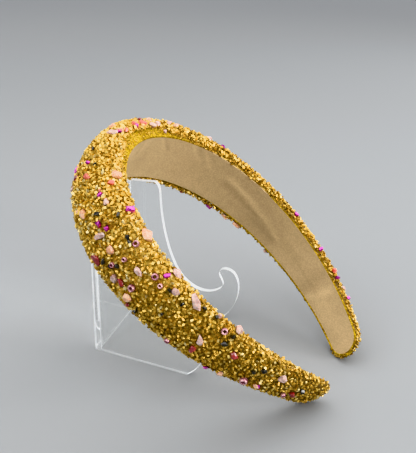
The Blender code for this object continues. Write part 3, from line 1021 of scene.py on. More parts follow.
# %% Geometry Nodes: one chip on each seed
def scatter_nodes(patterns):
    tree = bpy.data.node_groups.new("set_chips", "GeometryNodeTree")
    for way in ("INPUT", "OUTPUT"):
        tree.interface.new_socket("Geometry", in_out=way, socket_type="NodeSocketGeometry")
    entry = tree.nodes.new("NodeGroupInput")
    leave = tree.nodes.new("NodeGroupOutput")
    source = tree.nodes.new("GeometryNodeCollectionInfo")
    set_inputs(source, {"Collection": patterns, "Separate Children": True, "Reset Children": True})
    instance = tree.nodes.new("GeometryNodeInstanceOnPoints")
    set_inputs(instance, {"Pick Instance": True})
    turn = tree.nodes.new("FunctionNodeEulerToRotation")
    realize = tree.nodes.new("GeometryNodeRealizeInstances")
    for title, kind, target in (
        ("turn", "FLOAT_VECTOR", turn.inputs[0]),
        ("size", "FLOAT_VECTOR", instance.inputs["Scale"]),
        ("pick", "INT", instance.inputs["Instance Index"]),
    ):
        named = tree.nodes.new("GeometryNodeInputNamedAttribute")
        named.data_type = kind
        named.inputs["Name"].default_value = title
        tree.links.new(named.outputs["Attribute"], target)
    connect(tree, instance, {
        "Points": entry.outputs[0],
        "Instance": source.outputs[0],
        "Rotation": turn.outputs[0],
    })
    tree.links.new(instance.outputs[0], realize.inputs[0])
    tree.links.new(realize.outputs[0], leave.inputs[0])
    return tree


SET_CHIPS = scatter_nodes(CHIPS)


def scatter(name, seeds):
    """A piece with one pattern on each seed; a seed is (place, turn, size, pick, tint)."""
    bm = bmesh.new()
    for place, *_ in seeds:
        bm.verts.new(place)
    mesh = mesh_from(name + "_seeds", bm)
    for title, kind, field, column in (
        ("turn", "FLOAT_VECTOR", "vector", 1),
        ("size", "FLOAT_VECTOR", "vector", 2),
        ("pick", "INT", "value", 3),
        ("tint", "FLOAT", "value", 4),
    ):
        layer = mesh.attributes.new(title, kind, "POINT")
        flat = [seed[column] for seed in seeds]
        if field == "vector":
            flat = [number for vector in flat for number in vector]
        layer.data.foreach_set(field, flat)
    holder = put_in_scene(name + "_seeds", mesh)
    holder.modifiers.new("chips", "NODES").node_group = SET_CHIPS
    made = mesh_with_modifiers(holder)
    made.name = name
    piece = put_in_scene(name, made)
    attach(piece, BODY)
    print(name, len(seeds), "seeds", len(made.polygons), "faces")
    return piece


# %% [markdown]
# Scattered in the gold are accent stones. The main ones are solids of the frame, and each gets a finer,
# less regular copy here. For that the script has to know where on the band a stone sits: a search tree of
# points on the band's outside gives the nearest one, and with it the way out and the way along the band.
# The stone's own corners then say how long, wide and high it is and how it is turned.

# %% Finding a place on the band
SEARCH_STEP = 2.0 * MM
SEARCH_STEPS = 94
SEARCH_ANGLES = range(-60, 241, 4)
INSIDE = 1.0 * MM


def search_tree(points):
    tree = KDTree(len(points))
    for number, point in enumerate(points):
        tree.insert(point, number)
    tree.balance()
    return tree


def skin_places():
    places = []
    for step in range(-SEARCH_STEPS, SEARCH_STEPS + 1):
        section = Section(SEARCH_STEP * step)
        places += [(section.s, angle, section.place(section.skin(angle))) for angle in SEARCH_ANGLES]
    return places


SKIN_PLACES = skin_places()
SKIN_TREE = search_tree([point for _, _, point in SKIN_PLACES])


def surface_frame(s, angle):
    """Rotation with x along the band, y across it towards the lower edge and z outward."""
    section = Section(s)
    outward = (section.place(section.skin(angle)) - section.sunk(angle, INSIDE)).normalized()
    ahead = frame_at(s + MARCH_STEP)[0] - frame_at(s - MARCH_STEP)[0]
    along = (ahead - outward * ahead.dot(outward)).normalized()
    return Matrix((along, outward.cross(along), outward)).transposed()


def stone_seat(name):
    """The middle, the turned frame and the size of a stone of the frame."""
    corners = [vert.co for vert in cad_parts[name].data.vertices]
    low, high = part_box(name)
    middle = (low + high) * 0.5
    s, angle, _ = SKIN_PLACES[SKIN_TREE.find(middle)[1]]
    basis = surface_frame(s, angle)
    flat = [basis.transposed() @ (corner - middle) for corner in corners]
    spread = (sum(p.x * p.x for p in flat), sum(p.y * p.y for p in flat), sum(p.x * p.y for p in flat))
    turn = 0.5 * math.atan2(2.0 * spread[2], spread[0] - spread[1])
    basis = basis @ Matrix.Rotation(turn, 3, "Z")
    flat = [basis.transposed() @ (corner - middle) for corner in corners]
    reach = [(max(p[k] for p in flat), min(p[k] for p in flat)) for k in range(3)]
    size = Vector([high - low for high, low in reach])
    shift = Vector([0.5 * (high + low) for high, low in reach])
    return middle + basis @ shift, basis, size


STONES = sorted(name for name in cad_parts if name.startswith(("stone_", "bead_")))
SEATS = {name: stone_seat(name) for name in STONES}
longest = max(SEATS, key=lambda name: SEATS[name][2].x)
print("longest stone:", longest, [round(v / MM, 1) for v in SEATS[longest][2]])

# %% [markdown]
# Between the main stones lie smaller ones that only the render needs. Those that show in the photograph are
# written as a table. It doesn't show the far leg's outside, so a seeded loop strews that with the near leg's
# mix.

# %% Small accents
# Each row: the distance from the crown in mm, near leg negative, the angle round the band, the length and
# the width in mm, and the turn.
SEEN_ACCENTS = {
    "magenta": (
        (-63.0, 112, 2.9, 2.5, 20), (-11.5, 163, 2.9, 2.0, 60), (0.0, 177, 3.4, 2.6, 10),
        (-25.0, 76, 3.5, 2.6, 40), (-30.0, 112, 2.8, 1.9, 120), (-23.0, 66, 2.6, 2.2, 0),
        (-129.5, 23, 3.0, 2.4, 30), (57.5, 166, 2.6, 2.2, 0), (133.5, 188, 3.4, 2.6, 50),
        (151.5, 190, 3.2, 2.4, 80), (163.5, 169, 2.4, 2.0, 15), (71.0, -32, 4.6, 3.2, 170),
        (110.0, 186, 2.8, 2.2, 30), (-154.0, 60, 2.4, 1.8, 10),
    ),
    "black": (
        (-73.0, 134, 1.9, 1.6, 0), (-70.5, 73, 3.0, 1.9, 50), (-76.0, 91, 2.7, 1.9, 10),
        (-96.0, 134, 2.2, 1.8, 30), (-103.0, 132, 2.5, 1.8, 100), (-110.5, 162, 2.2, 1.7, 0),
        (-116.5, 165, 2.0, 1.7, 40), (-92.0, 50, 2.4, 2.0, 20), (-127.0, 149, 2.4, 1.6, 70),
        (-145.0, 99, 2.7, 2.0, 10), (-174.0, 99, 3.6, 2.8, 30), (-61.5, 142, 2.2, 1.8, 45),
        (-100.0, 92, 2.0, 1.6, 0), (-34.0, 128, 2.2, 1.4, 80), (-22.0, 118, 2.4, 1.3, 20),
        (60.0, 70, 2.4, 2.0, 0), (86.0, 132, 2.2, 1.8, 30), (112.0, 60, 2.6, 2.0, 60),
        (140.0, 120, 2.2, 1.8, 10), (30.0, 130, 2.4, 1.8, 80),
    ),
    "bead": (
        (-74.5, 86, 2.6, 2.6, 0), (-76.5, 109, 2.3, 2.3, 0), (-92.5, 127, 2.3, 2.3, 0),
        (-109.0, 42, 2.7, 2.7, 0), (-168.0, 64, 2.5, 2.5, 0), (80.0, 100, 2.6, 2.6, 0),
        (120.0, 140, 2.6, 2.6, 0), (22.0, 110, 2.6, 2.6, 0),
    ),
    "red": (
        (-81.0, 76, 4.2, 2.2, 30), (-88.0, 44, 2.2, 1.8, 0), (53.0, -32, 3.0, 2.4, 0),
        (7.0, 160, 3.6, 2.4, 110), (-31.0, 78, 3.2, 2.0, 80), (92.0, 44, 3.0, 2.2, 40),
    ),
    "coral": (
        (-8.0, 172, 2.6, 2.0, 0), (0.5, 168, 3.0, 2.2, 40), (147.5, 182, 2.6, 2.2, 0),
        (36.0, 70, 3.4, 2.6, 60), (108.0, 110, 3.4, 2.6, 0),
    ),
    "peach": (
        (-5.0, 132, 4.0, 3.0, 20), (-10.0, 160, 4.2, 2.8, 70), (28.0, 173, 4.4, 2.2, 0),
        (147.0, 171, 3.0, 2.5, 20), (82.0, -34, 5.0, 3.4, 175), (90.0, -34, 5.0, 3.2, 5),
        (12.0, 164, 3.6, 2.6, 30), (-153.0, 57, 3.6, 2.4, 10), (-47.0, 70, 2.6, 2.2, 30),
        (74.0, 90, 4.2, 3.0, 120), (132.0, 70, 3.8, 2.8, 40),
    ),
    "pale": (
        (11.0, 186, 4.2, 3.2, 100), (24.0, 169, 4.6, 3.2, 160), (-13.0, 142, 3.6, 3.0, 40),
        (-117.5, 177, 2.4, 2.0, 0), (17.5, 222, 2.0, 1.5, 60), (-32.0, 58, 3.2, 2.4, 20),
        (112.5, -28, 2.8, 2.0, 0), (50.0, 150, 4.2, 3.0, 60), (124.0, 84, 4.2, 3.0, 150),
        (160.0, 120, 3.4, 2.6, 30), (78.0, 60, 3.6, 2.8, 80), (30.0, 92, 3.8, 3.0, 10),
    ),
}
HIDDEN_MIX = ("black", "black", "magenta", "bead", "red", "coral", "peach", "peach", "pale", "pale")
HIDDEN_ROWS = 44
HIDDEN_START = 24.0
HIDDEN_REACH = 156.0
HIDDEN_ANGLES = (25.0, 150.0)
HIDDEN_LENGTHS = (2.4, 4.2)
HIDDEN_WIDTHS = (0.62, 0.85)
Accent = namedtuple("Accent", "kind along angle length width turn")


def hidden_accents():
    rng = random.Random(8)
    accents = []
    for number in range(HIDDEN_ROWS):
        along = HIDDEN_START + HIDDEN_REACH * (number + rng.uniform(0.1, 0.9)) / HIDDEN_ROWS
        length = rng.uniform(*HIDDEN_LENGTHS)
        accents.append(Accent(rng.choice(HIDDEN_MIX), along, rng.uniform(*HIDDEN_ANGLES), length,
                              length * rng.uniform(*HIDDEN_WIDTHS), rng.uniform(0.0, 180.0)))
    return accents


ACCENTS = [Accent(kind, *row) for kind, rows in SEEN_ACCENTS.items() for row in rows] + hidden_accents()
KINDS = sorted({accent.kind for accent in ACCENTS})
print("small accents:", len(ACCENTS), "kinds:", KINDS)

# %% [markdown]
# The chips leave room for the stones: a seed that would lie under one is skipped. A few still lap over the
# stones' rims, which is what seats them in the crust.

# %% Room for the stones
KEEP_CLEAR = 0.86
FURTHEST_UNDER = 5.0 * MM


def accent_place(accent, lift=0.0):
    section = Section(accent.along * MM)
    basis = surface_frame(section.s, accent.angle) @ Matrix.Rotation(math.radians(-accent.turn), 3, "Z")
    return section.place(section.skin(accent.angle)) + basis.col[2] * lift, basis


def taken_places():
    taken = []
    for middle, basis, size in SEATS.values():
        taken.append((middle - basis.col[2] * 0.5 * size.z, basis, size))
    for accent in ACCENTS:
        place, basis = accent_place(accent)
        taken.append((place, basis, Vector((accent.length * MM, accent.width * MM))))
    return taken


TAKEN = taken_places()
TAKEN_TREE = search_tree([place for place, _, _ in TAKEN])


def under_stone(point):
    for _, number, _ in TAKEN_TREE.find_range(point, FURTHEST_UNDER):
        place, basis, size = TAKEN[number]
        flat = basis.transposed() @ (point - place)
        if (flat.x / size.x) ** 2 + (flat.y / size.y) ** 2 < (0.5 * KEEP_CLEAR) ** 2:
            return True
    return False


print("places kept free:", len(TAKEN))

# %% [markdown]
# The chips lie in two layers. The lower one is dense and mostly brown and amber, and it fills the gaps. The
# upper one is thinner, paler and tipped about more, so its facets catch the light and its corners make the
# rough outline. On the far leg the glass stands nearly a millimetre prouder than on the near one. Over each
# chip's own tint lies painted light and shade by place: one table makes the tint paler on the near leg just
# below the crown and darker further down it and along the far leg, and another, a painted light on the
# crown, brings dark chips near the crown closer to a calm gold.

# %% One chip's seed
# A layer's sizes are in millimetres and its lean in degrees. Each row of tints is a running share of the
# chips, with their lowest and highest tint, and shift is how far the table of painted light and shade below
# moves them.
CHIP_LAYERS = {
    "lower": {"pitch": 1.40, "depth": (0.70, 1.35), "length": (1.6, 2.6), "width": (1.2, 1.8),
              "height": (0.8, 1.2), "lean": 18.0, "shift": 0.8,
              "tints": ((0.22, 0.05, 0.25), (0.85, 0.25, 0.60), (1.0, 0.60, 0.80))},
    "upper": {"pitch": 2.00, "depth": (-0.20, 0.50), "length": (2.2, 3.7), "width": (1.5, 2.3),
              "height": (0.9, 1.4), "lean": 24.0, "shift": 0.35,
              "tints": ((0.06, 0.02, 0.20), (0.60, 0.35, 0.65), (0.87, 0.65, 0.85), (1.0, 0.85, 1.0))},
}
PROUD = ((-190.0, 0.0), (-20.0, 0.0), (25.0, 0.8), (190.0, 0.7))
CHIP_TAPER = (1.0, 0.62, 1.0)
THINNEST = 0.5
# Painted light and shade along the band: the distance from the crown in mm and how far the tint moves there.
PAINTED_LIGHT_AND_SHADE = (
    (-190.0, -0.04), (-120.0, -0.16), (-80.0, 0.13), (-60.0, 0.13), (-20.0, -0.06), (12.0, -0.10),
    (40.0, -0.24), (110.0, -0.24), (150.0, 0.0), (190.0, 0.02),
)
# Painted light on the crown: the distance from the crown in mm and how far dark chips come up to the calm
# tint.
CROWN_PAINTED_LIGHT = (
    (-190.0, 0.0), (-100.0, 0.0), (-70.0, 0.30), (-20.0, 0.50), (12.0, 0.45), (40.0, 0.10), (190.0, 0.10),
)
CALM_TINT = 0.66
SECTION_STEP = 0.25 * MM
SECTIONS = {}


def section_near(s):
    """The section at the nearest quarter millimetre, with its table of angles, made once."""
    key = round(s / SECTION_STEP)
    if key not in SECTIONS:
        section = Section(key * SECTION_STEP)
        SECTIONS[key] = (section, section.angles(4.0))
    return SECTIONS[key]


def chip_tint(rng, layer, s):
    draw = rng.random()
    low, high = next((low, high) for share, low, high in layer["tints"] if draw <= share)
    # The chip's own tint, moved by the painted light and shade, then brought up by the painted light on the
    # crown.
    tint = rng.uniform(low, high) + layer["shift"] * read_stops(PAINTED_LIGHT_AND_SHADE, s) / MM
    tint += max(CALM_TINT - tint, 0.0) * read_stops(CROWN_PAINTED_LIGHT, s) / MM
    return clamped(tint)


def chip_seed(rng, layer, section, angle, proud=1.0):
    share = tip_share(section)
    thin = taper(CHIP_TAPER, section.s) * (THINNEST + (1.0 - THINNEST) * share)
    depth = rng.uniform(*layer["depth"]) * MM * thin - read_stops(PROUD, section.s) * share * proud
    spin = Matrix.Rotation(rng.uniform(0.0, 2.0 * math.pi), 3, "Z")
    lean = Matrix.Rotation(rng.gauss(0.0, math.radians(layer["lean"])), 3, "Y")
    roll = Matrix.Rotation(rng.gauss(0.0, math.radians(layer["lean"])), 3, "X")
    turn = (surface_frame(section.s, angle) @ spin @ lean @ roll).to_euler()
    grow = MM * thin
    size = tuple(rng.uniform(*layer[side]) * grow for side in ("length", "width", "height"))
    pick = rng.randrange(CHIP_PATTERNS)
    return section.sunk(angle, depth), tuple(turn), size, pick, chip_tint(rng, layer, section.s)


print("lower and upper pitch, mm:", [layer["pitch"] for layer in CHIP_LAYERS.values()])

# %% [markdown]
# The seeds are laid in staggered rows, each nudged off its place by up to two fifths of the spacing, so that
# they cover the band evenly without looking regular. Near the velvet border some are left out by chance,
# which makes the crust's edge ragged.

# %% Pieces: the crust of chips
ROW_SPACING = 0.87
NUDGE = 0.42
RAGGED_MOST = 1.2
RAGGED_SHARE = 0.45
KEPT_AT_EDGE = 0.35
KEPT_PER_MM = 0.55
CRUST_SHORT = 0.9 * MM


def chip_seeds(layer, low_s, high_s, seed):
    rng = random.Random(seed)
    pitch = layer["pitch"] * MM
    seeds = []
    rows = int((high_s - low_s) / (pitch * ROW_SPACING))
    for row in range(rows + 1):
        row_s = low_s + (high_s - low_s) * row / rows
        _, row_table = section_near(row_s)
        for place in range(int(row_table[-1][1] / pitch)):
            s = min(max(row_s + rng.uniform(-NUDGE, NUDGE) * pitch, low_s), high_s)
            section, table = section_near(s)
            distance = (place + 0.5 * (row % 2) + rng.uniform(-NUDGE, NUDGE)) * pitch
            below = border_width(s, False)
            above = border_width(s, True)
            edge = min(distance - below, table[-1][1] - above - distance) / MM
            border = above if distance > 0.5 * table[-1][1] else below
            inside = edge + min(RAGGED_MOST, RAGGED_SHARE * border / MM)
            if inside < 0.0 or rng.random() > KEPT_AT_EDGE + KEPT_PER_MM * inside:
                continue
            made = chip_seed(rng, layer, section, angle_at(table, distance))
            if not under_stone(made[0]):
                seeds.append(made)
    return seeds


def build_crust():
    reach = TIP_REACH - CRUST_SHORT
    pieces = []
    for leg, low, high, seed in (("near", -reach, 0.0, 21), ("far", 0.0, reach, 22)):
        for title, layer in CHIP_LAYERS.items():
            piece = scatter(f"crust_{leg}_{title}", chip_seeds(layer, low, high, seed + len(pieces)))
            pieces.append(piece)
    return pieces


crust = build_crust()
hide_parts("crystal_field")

# %% [markdown]
# Fine gold dust has stuck to the velvet above the crown, which gives that border its dotted look. It is the
# same scatter with far smaller chips, laid only between the lining and the crust.

# %% Piece: gold dust on the velvet
DUST = {"depth": (-0.10, 0.10), "length": (0.5, 0.9), "width": (0.4, 0.7), "height": (0.3, 0.5), "lean": 25.0,
        "shift": 0.0, "tints": ((0.55, 0.15, 0.40), (1.0, 0.40, 0.75))}
DUST_REACH = (-44.0 * MM, 50.0 * MM)
DUST_GRAINS = 520
DUST_FROM = 0.3 * MM
DUST_PAST = 0.6 * MM


def build_dust():
    rng = random.Random(31)
    seeds = []
    for _ in range(DUST_GRAINS):
        section, table = section_near(rng.uniform(*DUST_REACH))
        distance = table[-1][1] - rng.uniform(DUST_FROM, border_width(section.s, True) + DUST_PAST)
        seeds.append(chip_seed(rng, DUST, section, angle_at(table, distance), 0.0))
    piece = scatter("velvet_dust", seeds)


build_dust()

# %% [markdown]
# The stones differ by kind. Peach, pale and coral ones are tumbled chips of cloudy stone: light sinks in a
# little, which the subsurface part of the shader does. Red is glass and black is jet, both glossy. Magenta
# chips have a metallic skin. Each has a tone that wanders from a dark to a light shade.

# %% Finishes: accent stones
# Each kind: its dark and its light shade, metallic, roughness, how much light sinks in, and clear coat.
STONE_LOOKS = {
    "magenta": ((0.270, 0.010, 0.190), (0.680, 0.100, 0.540), 0.75, 0.20, 0.0, 0.5),
    "coral": ((0.560, 0.075, 0.045), (0.860, 0.260, 0.170), 0.0, 0.25, 0.25, 0.4),
    "red": ((0.170, 0.012, 0.014), (0.360, 0.050, 0.050), 0.0, 0.15, 0.20, 0.7),
    "peach": ((0.640, 0.320, 0.180), (0.860, 0.560, 0.380), 0.0, 0.28, 0.35, 0.3),
    "pale": ((0.340, 0.210, 0.185), (0.680, 0.490, 0.430), 0.0, 0.25, 0.35, 0.6),
    "black": ((0.004, 0.004, 0.004), (0.030, 0.027, 0.018), 0.0, 0.20, 0.0, 0.2),
    "bead": ((0.270, 0.085, 0.125), (0.690, 0.400, 0.430), 0.55, 0.18, 0.0, 0.6),
}
SINKS_IN = {"Subsurface Radius": (1.0, 0.5, 0.35), "Subsurface Scale": 1.2 * MM}


def stone_material(kind):
    dark, light, metallic, roughness, depth, coat = STONE_LOOKS[kind]
    values = {"Metallic": metallic, "Roughness": roughness, "Coat Weight": coat, "Coat Roughness": 0.06}
    if depth > 0.0:
        values.update(SINKS_IN)
        values["Subsurface Weight"] = depth
    material, tree, shader = new_material(f"{kind}_stone", values)
    tone = uneven_tone(tree, object_coordinates(tree), 420.0, 1300.0)
    connect(tree, shader, {
        "Base Color": colour_ramp(tree, tone, [(0.40, dark), (0.58, light)]),
        "Normal": bump(tree, tone, 0.15 * MM, 0.5),
    })
    return material


STONE_MATERIALS = {kind: stone_material(kind) for kind in STONE_LOOKS}

# %% [markdown]
# A tumbled chip starts as a ball. Planes cut slices off it, each hole is filled, and a bevel rounds the new
# edges, which is close to what breaking and tumbling does to a real pebble. Glass, jet and metal-skinned
# chips get more cuts and hardly any bevel, so their faces stay crisp.

# %% Cutting a stone
# Each kind: the number of cuts round it, how near its middle and how far out they go, and the bevel.
STONE_CUTS = {
    "magenta": (7, (0.26, 0.40), 0.04),
    "coral": (6, (0.28, 0.42), 0.10),
    "red": (8, (0.27, 0.40), 0.05),
    "peach": (6, (0.26, 0.42), 0.09),
    "pale": (6, (0.26, 0.42), 0.09),
    "black": (8, (0.26, 0.40), 0.04),
}
BALL_RADIUS = 0.56
CUT_SPREAD = 0.35
CUT_RISE = (-0.25, 0.75)
TOP_CUT = 0.30
TOP_LEAN = 0.3
CUT_MERGE = 0.02
CUT_FLAT = 14.0
EDGE_MERGE = 0.004


def bisect(bm, place, normal):
    """Cut everything beyond a plane off and close the cut."""
    geom = bm.verts[:] + bm.edges[:] + bm.faces[:]
    bmesh.ops.bisect_plane(bm, geom=geom, plane_co=place, plane_no=normal, clear_outer=True)
    open_edges = [edge for edge in bm.edges if edge.is_boundary]
    bmesh.ops.contextual_create(bm, geom=open_edges)


def fit_unit_box(bm):
    for axis in range(3):
        low = min(vert.co[axis] for vert in bm.verts)
        high = max(vert.co[axis] for vert in bm.verts)
        for vert in bm.verts:
            vert.co[axis] = (vert.co[axis] - low) / (high - low) - 0.5


def cut_stone(kind, seed):
    """A stone in a unit box, irregular all round and flatter on top."""
    rng = random.Random(seed)
    cuts, keep, ease = STONE_CUTS[kind]
    bm = bmesh.new()
    bmesh.ops.create_icosphere(bm, subdivisions=2, radius=BALL_RADIUS)
    spin = rng.uniform(0.0, math.pi)
    for number in range(cuts):
        around = spin + 2.0 * math.pi * number / cuts + rng.uniform(-CUT_SPREAD, CUT_SPREAD)
        rise = rng.uniform(*CUT_RISE)
        normal = Vector((math.cos(around), math.sin(around), rise)).normalized()
        bisect(bm, normal * rng.uniform(*keep), normal)
    upwards = Vector((rng.uniform(-TOP_LEAN, TOP_LEAN), rng.uniform(-TOP_LEAN, TOP_LEAN), 1.0))
    bisect(bm, Vector((0.0, 0.0, TOP_CUT)), upwards)
    bmesh.ops.remove_doubles(bm, verts=bm.verts, dist=CUT_MERGE)
    bmesh.ops.dissolve_limit(bm, angle_limit=math.radians(CUT_FLAT), verts=bm.verts, edges=bm.edges)
    bmesh.ops.bevel(bm, geom=bm.edges[:], offset=ease, offset_type="OFFSET", segments=2, profile=0.5,
                    affect="EDGES", clamp_overlap=True, material=-1)
    bmesh.ops.remove_doubles(bm, verts=bm.verts, dist=EDGE_MERGE)
    fit_unit_box(bm)
    bmesh.ops.recalc_face_normals(bm, faces=bm.faces)
    return bm


print("kinds of cut stone:", len(STONE_CUTS))

# %% [markdown]
# A bead is a short thick-walled tube with round lips: a ring of points, stretched along the bore, is spun
# once round the bore's axis.

# %% A tube bead
WALL_HALF = 0.16
WALL_MIDDLE = 0.34
WALL_STRETCH = 3.1


def tube_bead():
    """A bead in a unit box."""
    bm = bmesh.new()
    ring = bmesh.ops.create_circle(bm, cap_ends=False, radius=WALL_HALF, segments=10,
                                   matrix=Matrix.Rotation(math.pi / 2.0, 4, "X"))
    for vert in ring["verts"]:
        vert.co = Vector((WALL_MIDDLE + vert.co.x, 0.0, vert.co.z * WALL_STRETCH))
    bmesh.ops.spin(bm, geom=bm.verts[:] + bm.edges[:], cent=(0, 0, 0), axis=(0, 0, 1), dvec=(0, 0, 0),
                   angle=2.0 * math.pi, steps=20, use_merge=True, use_duplicate=False)
    bmesh.ops.remove_doubles(bm, verts=bm.verts, dist=1e-5)
    fit_unit_box(bm)
    bmesh.ops.recalc_face_normals(bm, faces=bm.faces)
    steady_order(bm)
    return bm


# %% [markdown]
# Each main stone goes into the seat of its solid, a few hundredths larger, so that its cut corners reach
# about as far as the solid does. A piece is named after its solid.

# %% Pieces: the main stones
STONE_GROWTH = 1.04
STONE_SHARP = 32.0


def placed_stone(kind, seed, place, basis, size):
    bm = tube_bead() if kind == "bead" else cut_stone(kind, seed)
    stretch = Matrix.Diagonal((*size, 1.0))
    bmesh.ops.transform(bm, matrix=Matrix.Translation(place) @ basis.to_4x4() @ stretch, verts=bm.verts)
    return bm


def finish_stone(name, kind, bm, replaces=()):
    finish_piece(name, bm, [STONE_MATERIALS[kind]], STONE_SHARP, replaces)


def build_main_stones():
    for name, (middle, basis, size) in SEATS.items():
        kind = "bead" if name.startswith("bead") else name.split("_")[2]
        bm = placed_stone(kind, name, middle, basis, size * STONE_GROWTH)
        finish_stone("set_" + name, kind, bm, (name,))


build_main_stones()

# %% [markdown]
# The small accents are made the same way, but all of a kind are joined into one piece. They stand as proud
# as the glass does there, and their undersides are sunk in it.

# %% Pieces: the small accents, joined by kind
SMALL_HEIGHT = 0.55
SMALL_LIFT = 0.15
SMALL_SUNK = 0.8 * MM


def build_small_accents():
    for kind in KINDS:
        whole = bmesh.new()
        for number, accent in enumerate(ACCENTS):
            if accent.kind != kind:
                continue
            height = SMALL_HEIGHT * accent.width * MM
            lift = read_stops(PROUD, accent.along * MM) + SMALL_LIFT * height
            size = Vector((accent.length * MM, accent.width * MM, height + SMALL_SUNK))
            mesh = mesh_from("part", placed_stone(kind, f"small {number}", *accent_place(accent, lift), size))
            whole.from_mesh(mesh)
            bpy.data.meshes.remove(mesh)
        finish_stone(f"small_{kind}", kind, whole)


build_small_accents()

# %% [markdown]
# The stand is one sheet of clear acrylic, three millimetres thick. Its broad faces are almost invisible,
# and its sawn edges are bright, because light that enters the sheet leaves it there. So the edges have a
# finish of their own: dark grey and part clear, made whitish by a painted glow, an emission that stands in
# for the light that the sheet leads to them. A real sheet hardly casts a shadow, so the clear finish also
# lets shadow rays through. A ray that has turned many times inside the sheet is let out as well, because it
# would end there and leave a black bar near the corner.

# %% Finishes: acrylic faces and edges
MOST_TURNS = 4.0
SHADOW_LET_THROUGH = 0.9
ACRYLIC_IOR = 1.49


def acrylic_material():
    material, tree, shader = new_material("clear_acrylic", {
        "Base Color": (0.985, 0.992, 0.990, 1.0),
        "IOR": ACRYLIC_IOR,
        "Transmission Weight": 1.0,
    })
    tone = uneven_tone(tree, object_coordinates(tree), 30.0, 240.0)
    rough = colour_ramp(tree, tone, [(0.40, grey(0.01)), (0.62, grey(0.05))])
    light = tree.nodes.new("ShaderNodeLightPath")
    shadow = math_node(tree, "MULTIPLY", light.outputs["Is Shadow Ray"], SHADOW_LET_THROUGH)
    trapped = math_node(tree, "GREATER_THAN", light.outputs["Ray Depth"], MOST_TURNS)
    opaque = math_node(tree, "SUBTRACT", 1.0, math_node(tree, "MAXIMUM", shadow, trapped))
    connect(tree, shader, {"Roughness": rough, "Alpha": opaque})
    return material


def painted_glow_material():
    material, tree, shader = new_material("acrylic_edge", {
        "Base Color": (0.20, 0.21, 0.22, 1.0),
        "Roughness": 0.30,
        "IOR": ACRYLIC_IOR,
        "Transmission Weight": 0.30,
        "Emission Strength": 0.62,
    })
    tone = uneven_tone(tree, object_coordinates(tree), 300.0, 2500.0)
    # The emission is a painted glow that stands in for light the sheet leads to its edges.
    connect(tree, shader, {
        "Emission Color": colour_ramp(tree, tone, [(0.38, (0.80, 0.83, 0.85)), (0.60, grey(1.0))]),
        "Normal": bump(tree, tone, 0.05 * MM, 0.4),
    })
    return material


CLEAR_ACRYLIC = acrylic_material()
ACRYLIC_PAINTED_GLOW = painted_glow_material()

# %% [markdown]
# The sheet is drawn from the side first. The outline has a straight back and top, then six smooth curves:
# shoulder, neck, trough, lip, crest and the back of the hook. Each curve is given by its two ends and two
# points that it bends towards. From above, the sheet is a U whose two plates open a little to the front.

# %% The stand's side outline and plan
SHEET = 3.0 * MM
STAND_HEIGHT = 80.0 * MM
BEND_RADIUS = 1.0 * MM
FLARE = math.radians(6.5)
PLATE_REACH = 80.0 * MM
PLATE_CURVES = {
    "shoulder": ((16.5, 80.0), (18.6, 79.0), (19.3, 76.5), (19.4, 70.0)),
    "neck": ((19.4, 70.0), (20.0, 57.0), (23.0, 42.0), (27.2, 32.5)),
    "trough": ((27.2, 32.5), (32.0, 20.0), (43.5, 13.2), (52.4, 18.9)),
    "lip": ((52.4, 18.9), (57.6, 22.4), (52.6, 26.3), (52.5, 29.0)),
    "crest": ((52.5, 29.0), (52.8, 33.0), (58.0, 33.0), (61.0, 29.6)),
    "hook_back": ((61.0, 29.6), (66.0, 23.0), (64.0, 7.5), (53.5, 0.0)),
}
CURVE_STEPS = 18
BEND_STEPS = 4


def plate_outline():
    points = [(0.0, 0.0), (0.0, STAND_HEIGHT), tuple(v * MM for v in PLATE_CURVES["shoulder"][0])]
    for corners in PLATE_CURVES.values():
        for i in range(1, CURVE_STEPS + 1):
            t = i / CURVE_STEPS
            weights = ((1 - t) ** 3, 3 * t * (1 - t) ** 2, 3 * t * t * (1 - t), t ** 3)
            points.append(tuple(MM * sum(w * c[k] for w, c in zip(weights, corners)) for k in (0, 1)))
    return points


def near_half_plan():
    """The near half of the sheet seen from above: outside from the rear corner to the front, then back."""
    rise = (1.0 - math.sin(FLARE)) / math.cos(FLARE)
    middle = Vector((STAND_REAR_X + BEND_RADIUS, STAND_NEAR_Y + BEND_RADIUS * rise, 0.0))
    points = []
    for i in range(BEND_STEPS + 1):
        angle = math.pi + (0.5 * math.pi - FLARE) * i / BEND_STEPS
        points.append(middle + BEND_RADIUS * Vector((math.cos(angle), math.sin(angle), 0.0)))
    corner = Vector((STAND_REAR_X, STAND_NEAR_Y, 0.0))
    along = Vector((math.cos(FLARE), -math.sin(FLARE), 0.0))
    inward = Vector((math.sin(FLARE), math.cos(FLARE), 0.0))
    points.append(corner + along * PLATE_REACH)
    points.append(corner + along * PLATE_REACH + inward * SHEET)
    points.append(corner + along * SHEET * rise + inward * SHEET)
    return points


def sheet_plan():
    near_half = near_half_plan()
    across = STAND_NEAR_Y + STAND_FAR_Y
    far_half = [Vector((point.x, across - point.y, 0.0)) for point in reversed(near_half)]
    return [point + SHIFT for point in near_half + far_half]


print("points: side", len(plate_outline()), "plan", len(sheet_plan()))

# %% [markdown]
# The side outline drawn out across the stand would be a solid block, so it is cut with the U drawn up. Light
# gathers where a plate meets the back panel: a bright strip lies on the outside of each corner and a thin
# line runs down the inside. They are painted highlights: two more cuts are made for them, and they get the
# edges' painted glow.

# %% Piece: the stand
CORNER_WIDTH = 1.2 * MM
SEAM_WIDTH = 0.5 * MM
BLANK_HEIGHT = 100.0 * MM
SPARE = 20.0 * MM
PLATE_FACING = 0.97
PANEL_FACING = 0.99


def drawn_out(points, direction):
    bm = bmesh.new()
    face = bm.faces.new([bm.verts.new(point) for point in points])
    drawn = bmesh.ops.extrude_face_region(bm, geom=[face])["geom"]
    moved = [item for item in drawn if isinstance(item, bmesh.types.BMVert)]
    bmesh.ops.translate(bm, vec=direction, verts=moved)
    bmesh.ops.recalc_face_normals(bm, faces=bm.faces)
    steady_order(bm)
    return bm


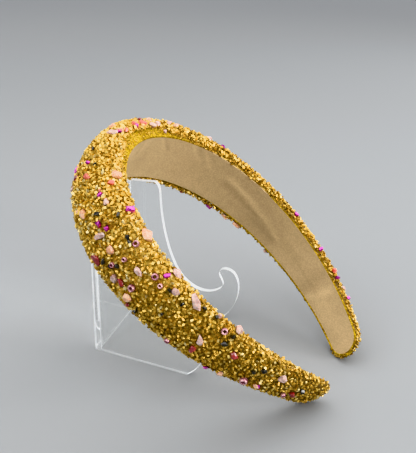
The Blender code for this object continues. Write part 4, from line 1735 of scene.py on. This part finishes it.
def gets_painted_glow(face, rear):
    """Faces with the painted glow: sawn edges, and as painted highlights the strip where a plate meets the
    back panel and the line down the inner corner.
    """
    place = face.calc_center_median().x - rear
    plate = abs(face.normal.y) > PLATE_FACING
    panel = abs(face.normal.x) > PANEL_FACING and place < SHEET + SEAM_WIDTH
    if plate and place < SHEET + SEAM_WIDTH:
        outside = face.normal.y * (face.calc_center_median().y - middle_y) > 0.0
        return place < CORNER_WIDTH if outside else True
    return not plate and not panel


def trimmed_sheet():
    up = drawn_out(sheet_plan(), Vector((0.0, 0.0, BLANK_HEIGHT)))
    blank = put_in_scene("sheet_blank", mesh_from("sheet_blank", up))
    side = [Vector((STAND_REAR_X + x, STAND_NEAR_Y - SPARE, z)) + SHIFT for x, z in plate_outline()]
    across = drawn_out(side, Vector((0.0, STAND_FAR_Y - STAND_NEAR_Y + 2.0 * SPARE, 0.0)))
    cutter = put_in_scene("side_cutter", mesh_from("side_cutter", across))
    cut = blank.modifiers.new("trim", "BOOLEAN")
    cut.operation = "INTERSECT"
    cut.object = cutter
    mesh = mesh_with_modifiers(blank)
    bpy.data.objects.remove(cutter)
    bm = bmesh.new()
    bm.from_mesh(mesh)
    bpy.data.meshes.remove(mesh)
    bmesh.ops.remove_doubles(bm, verts=bm.verts, dist=0.005 * MM)
    bmesh.ops.dissolve_limit(bm, angle_limit=math.radians(0.5), verts=bm.verts, edges=bm.edges)
    return bm


def build_stand():
    bm = trimmed_sheet()
    rear = STAND_REAR_X + SHIFT.x
    for reach in (CORNER_WIDTH, SHEET + SEAM_WIDTH):
        geom = bm.verts[:] + bm.edges[:] + bm.faces[:]
        place = (rear + reach, 0.0, 0.0)
        bmesh.ops.bisect_plane(bm, geom=geom, dist=1e-7, plane_co=place, plane_no=(1.0, 0.0, 0.0))
    for face in bm.faces:
        # Edges and the corner highlights take the painted glow.
        face.material_index = int(gets_painted_glow(face, rear))
    finishes = [CLEAR_ACRYLIC, ACRYLIC_PAINTED_GLOW]
    piece = finish_piece("acrylic_sheet", bm, finishes, 30.0, ("stand",))
    round_edges(piece, "eased_edges", 0.2 * MM, 40.0)


build_stand()
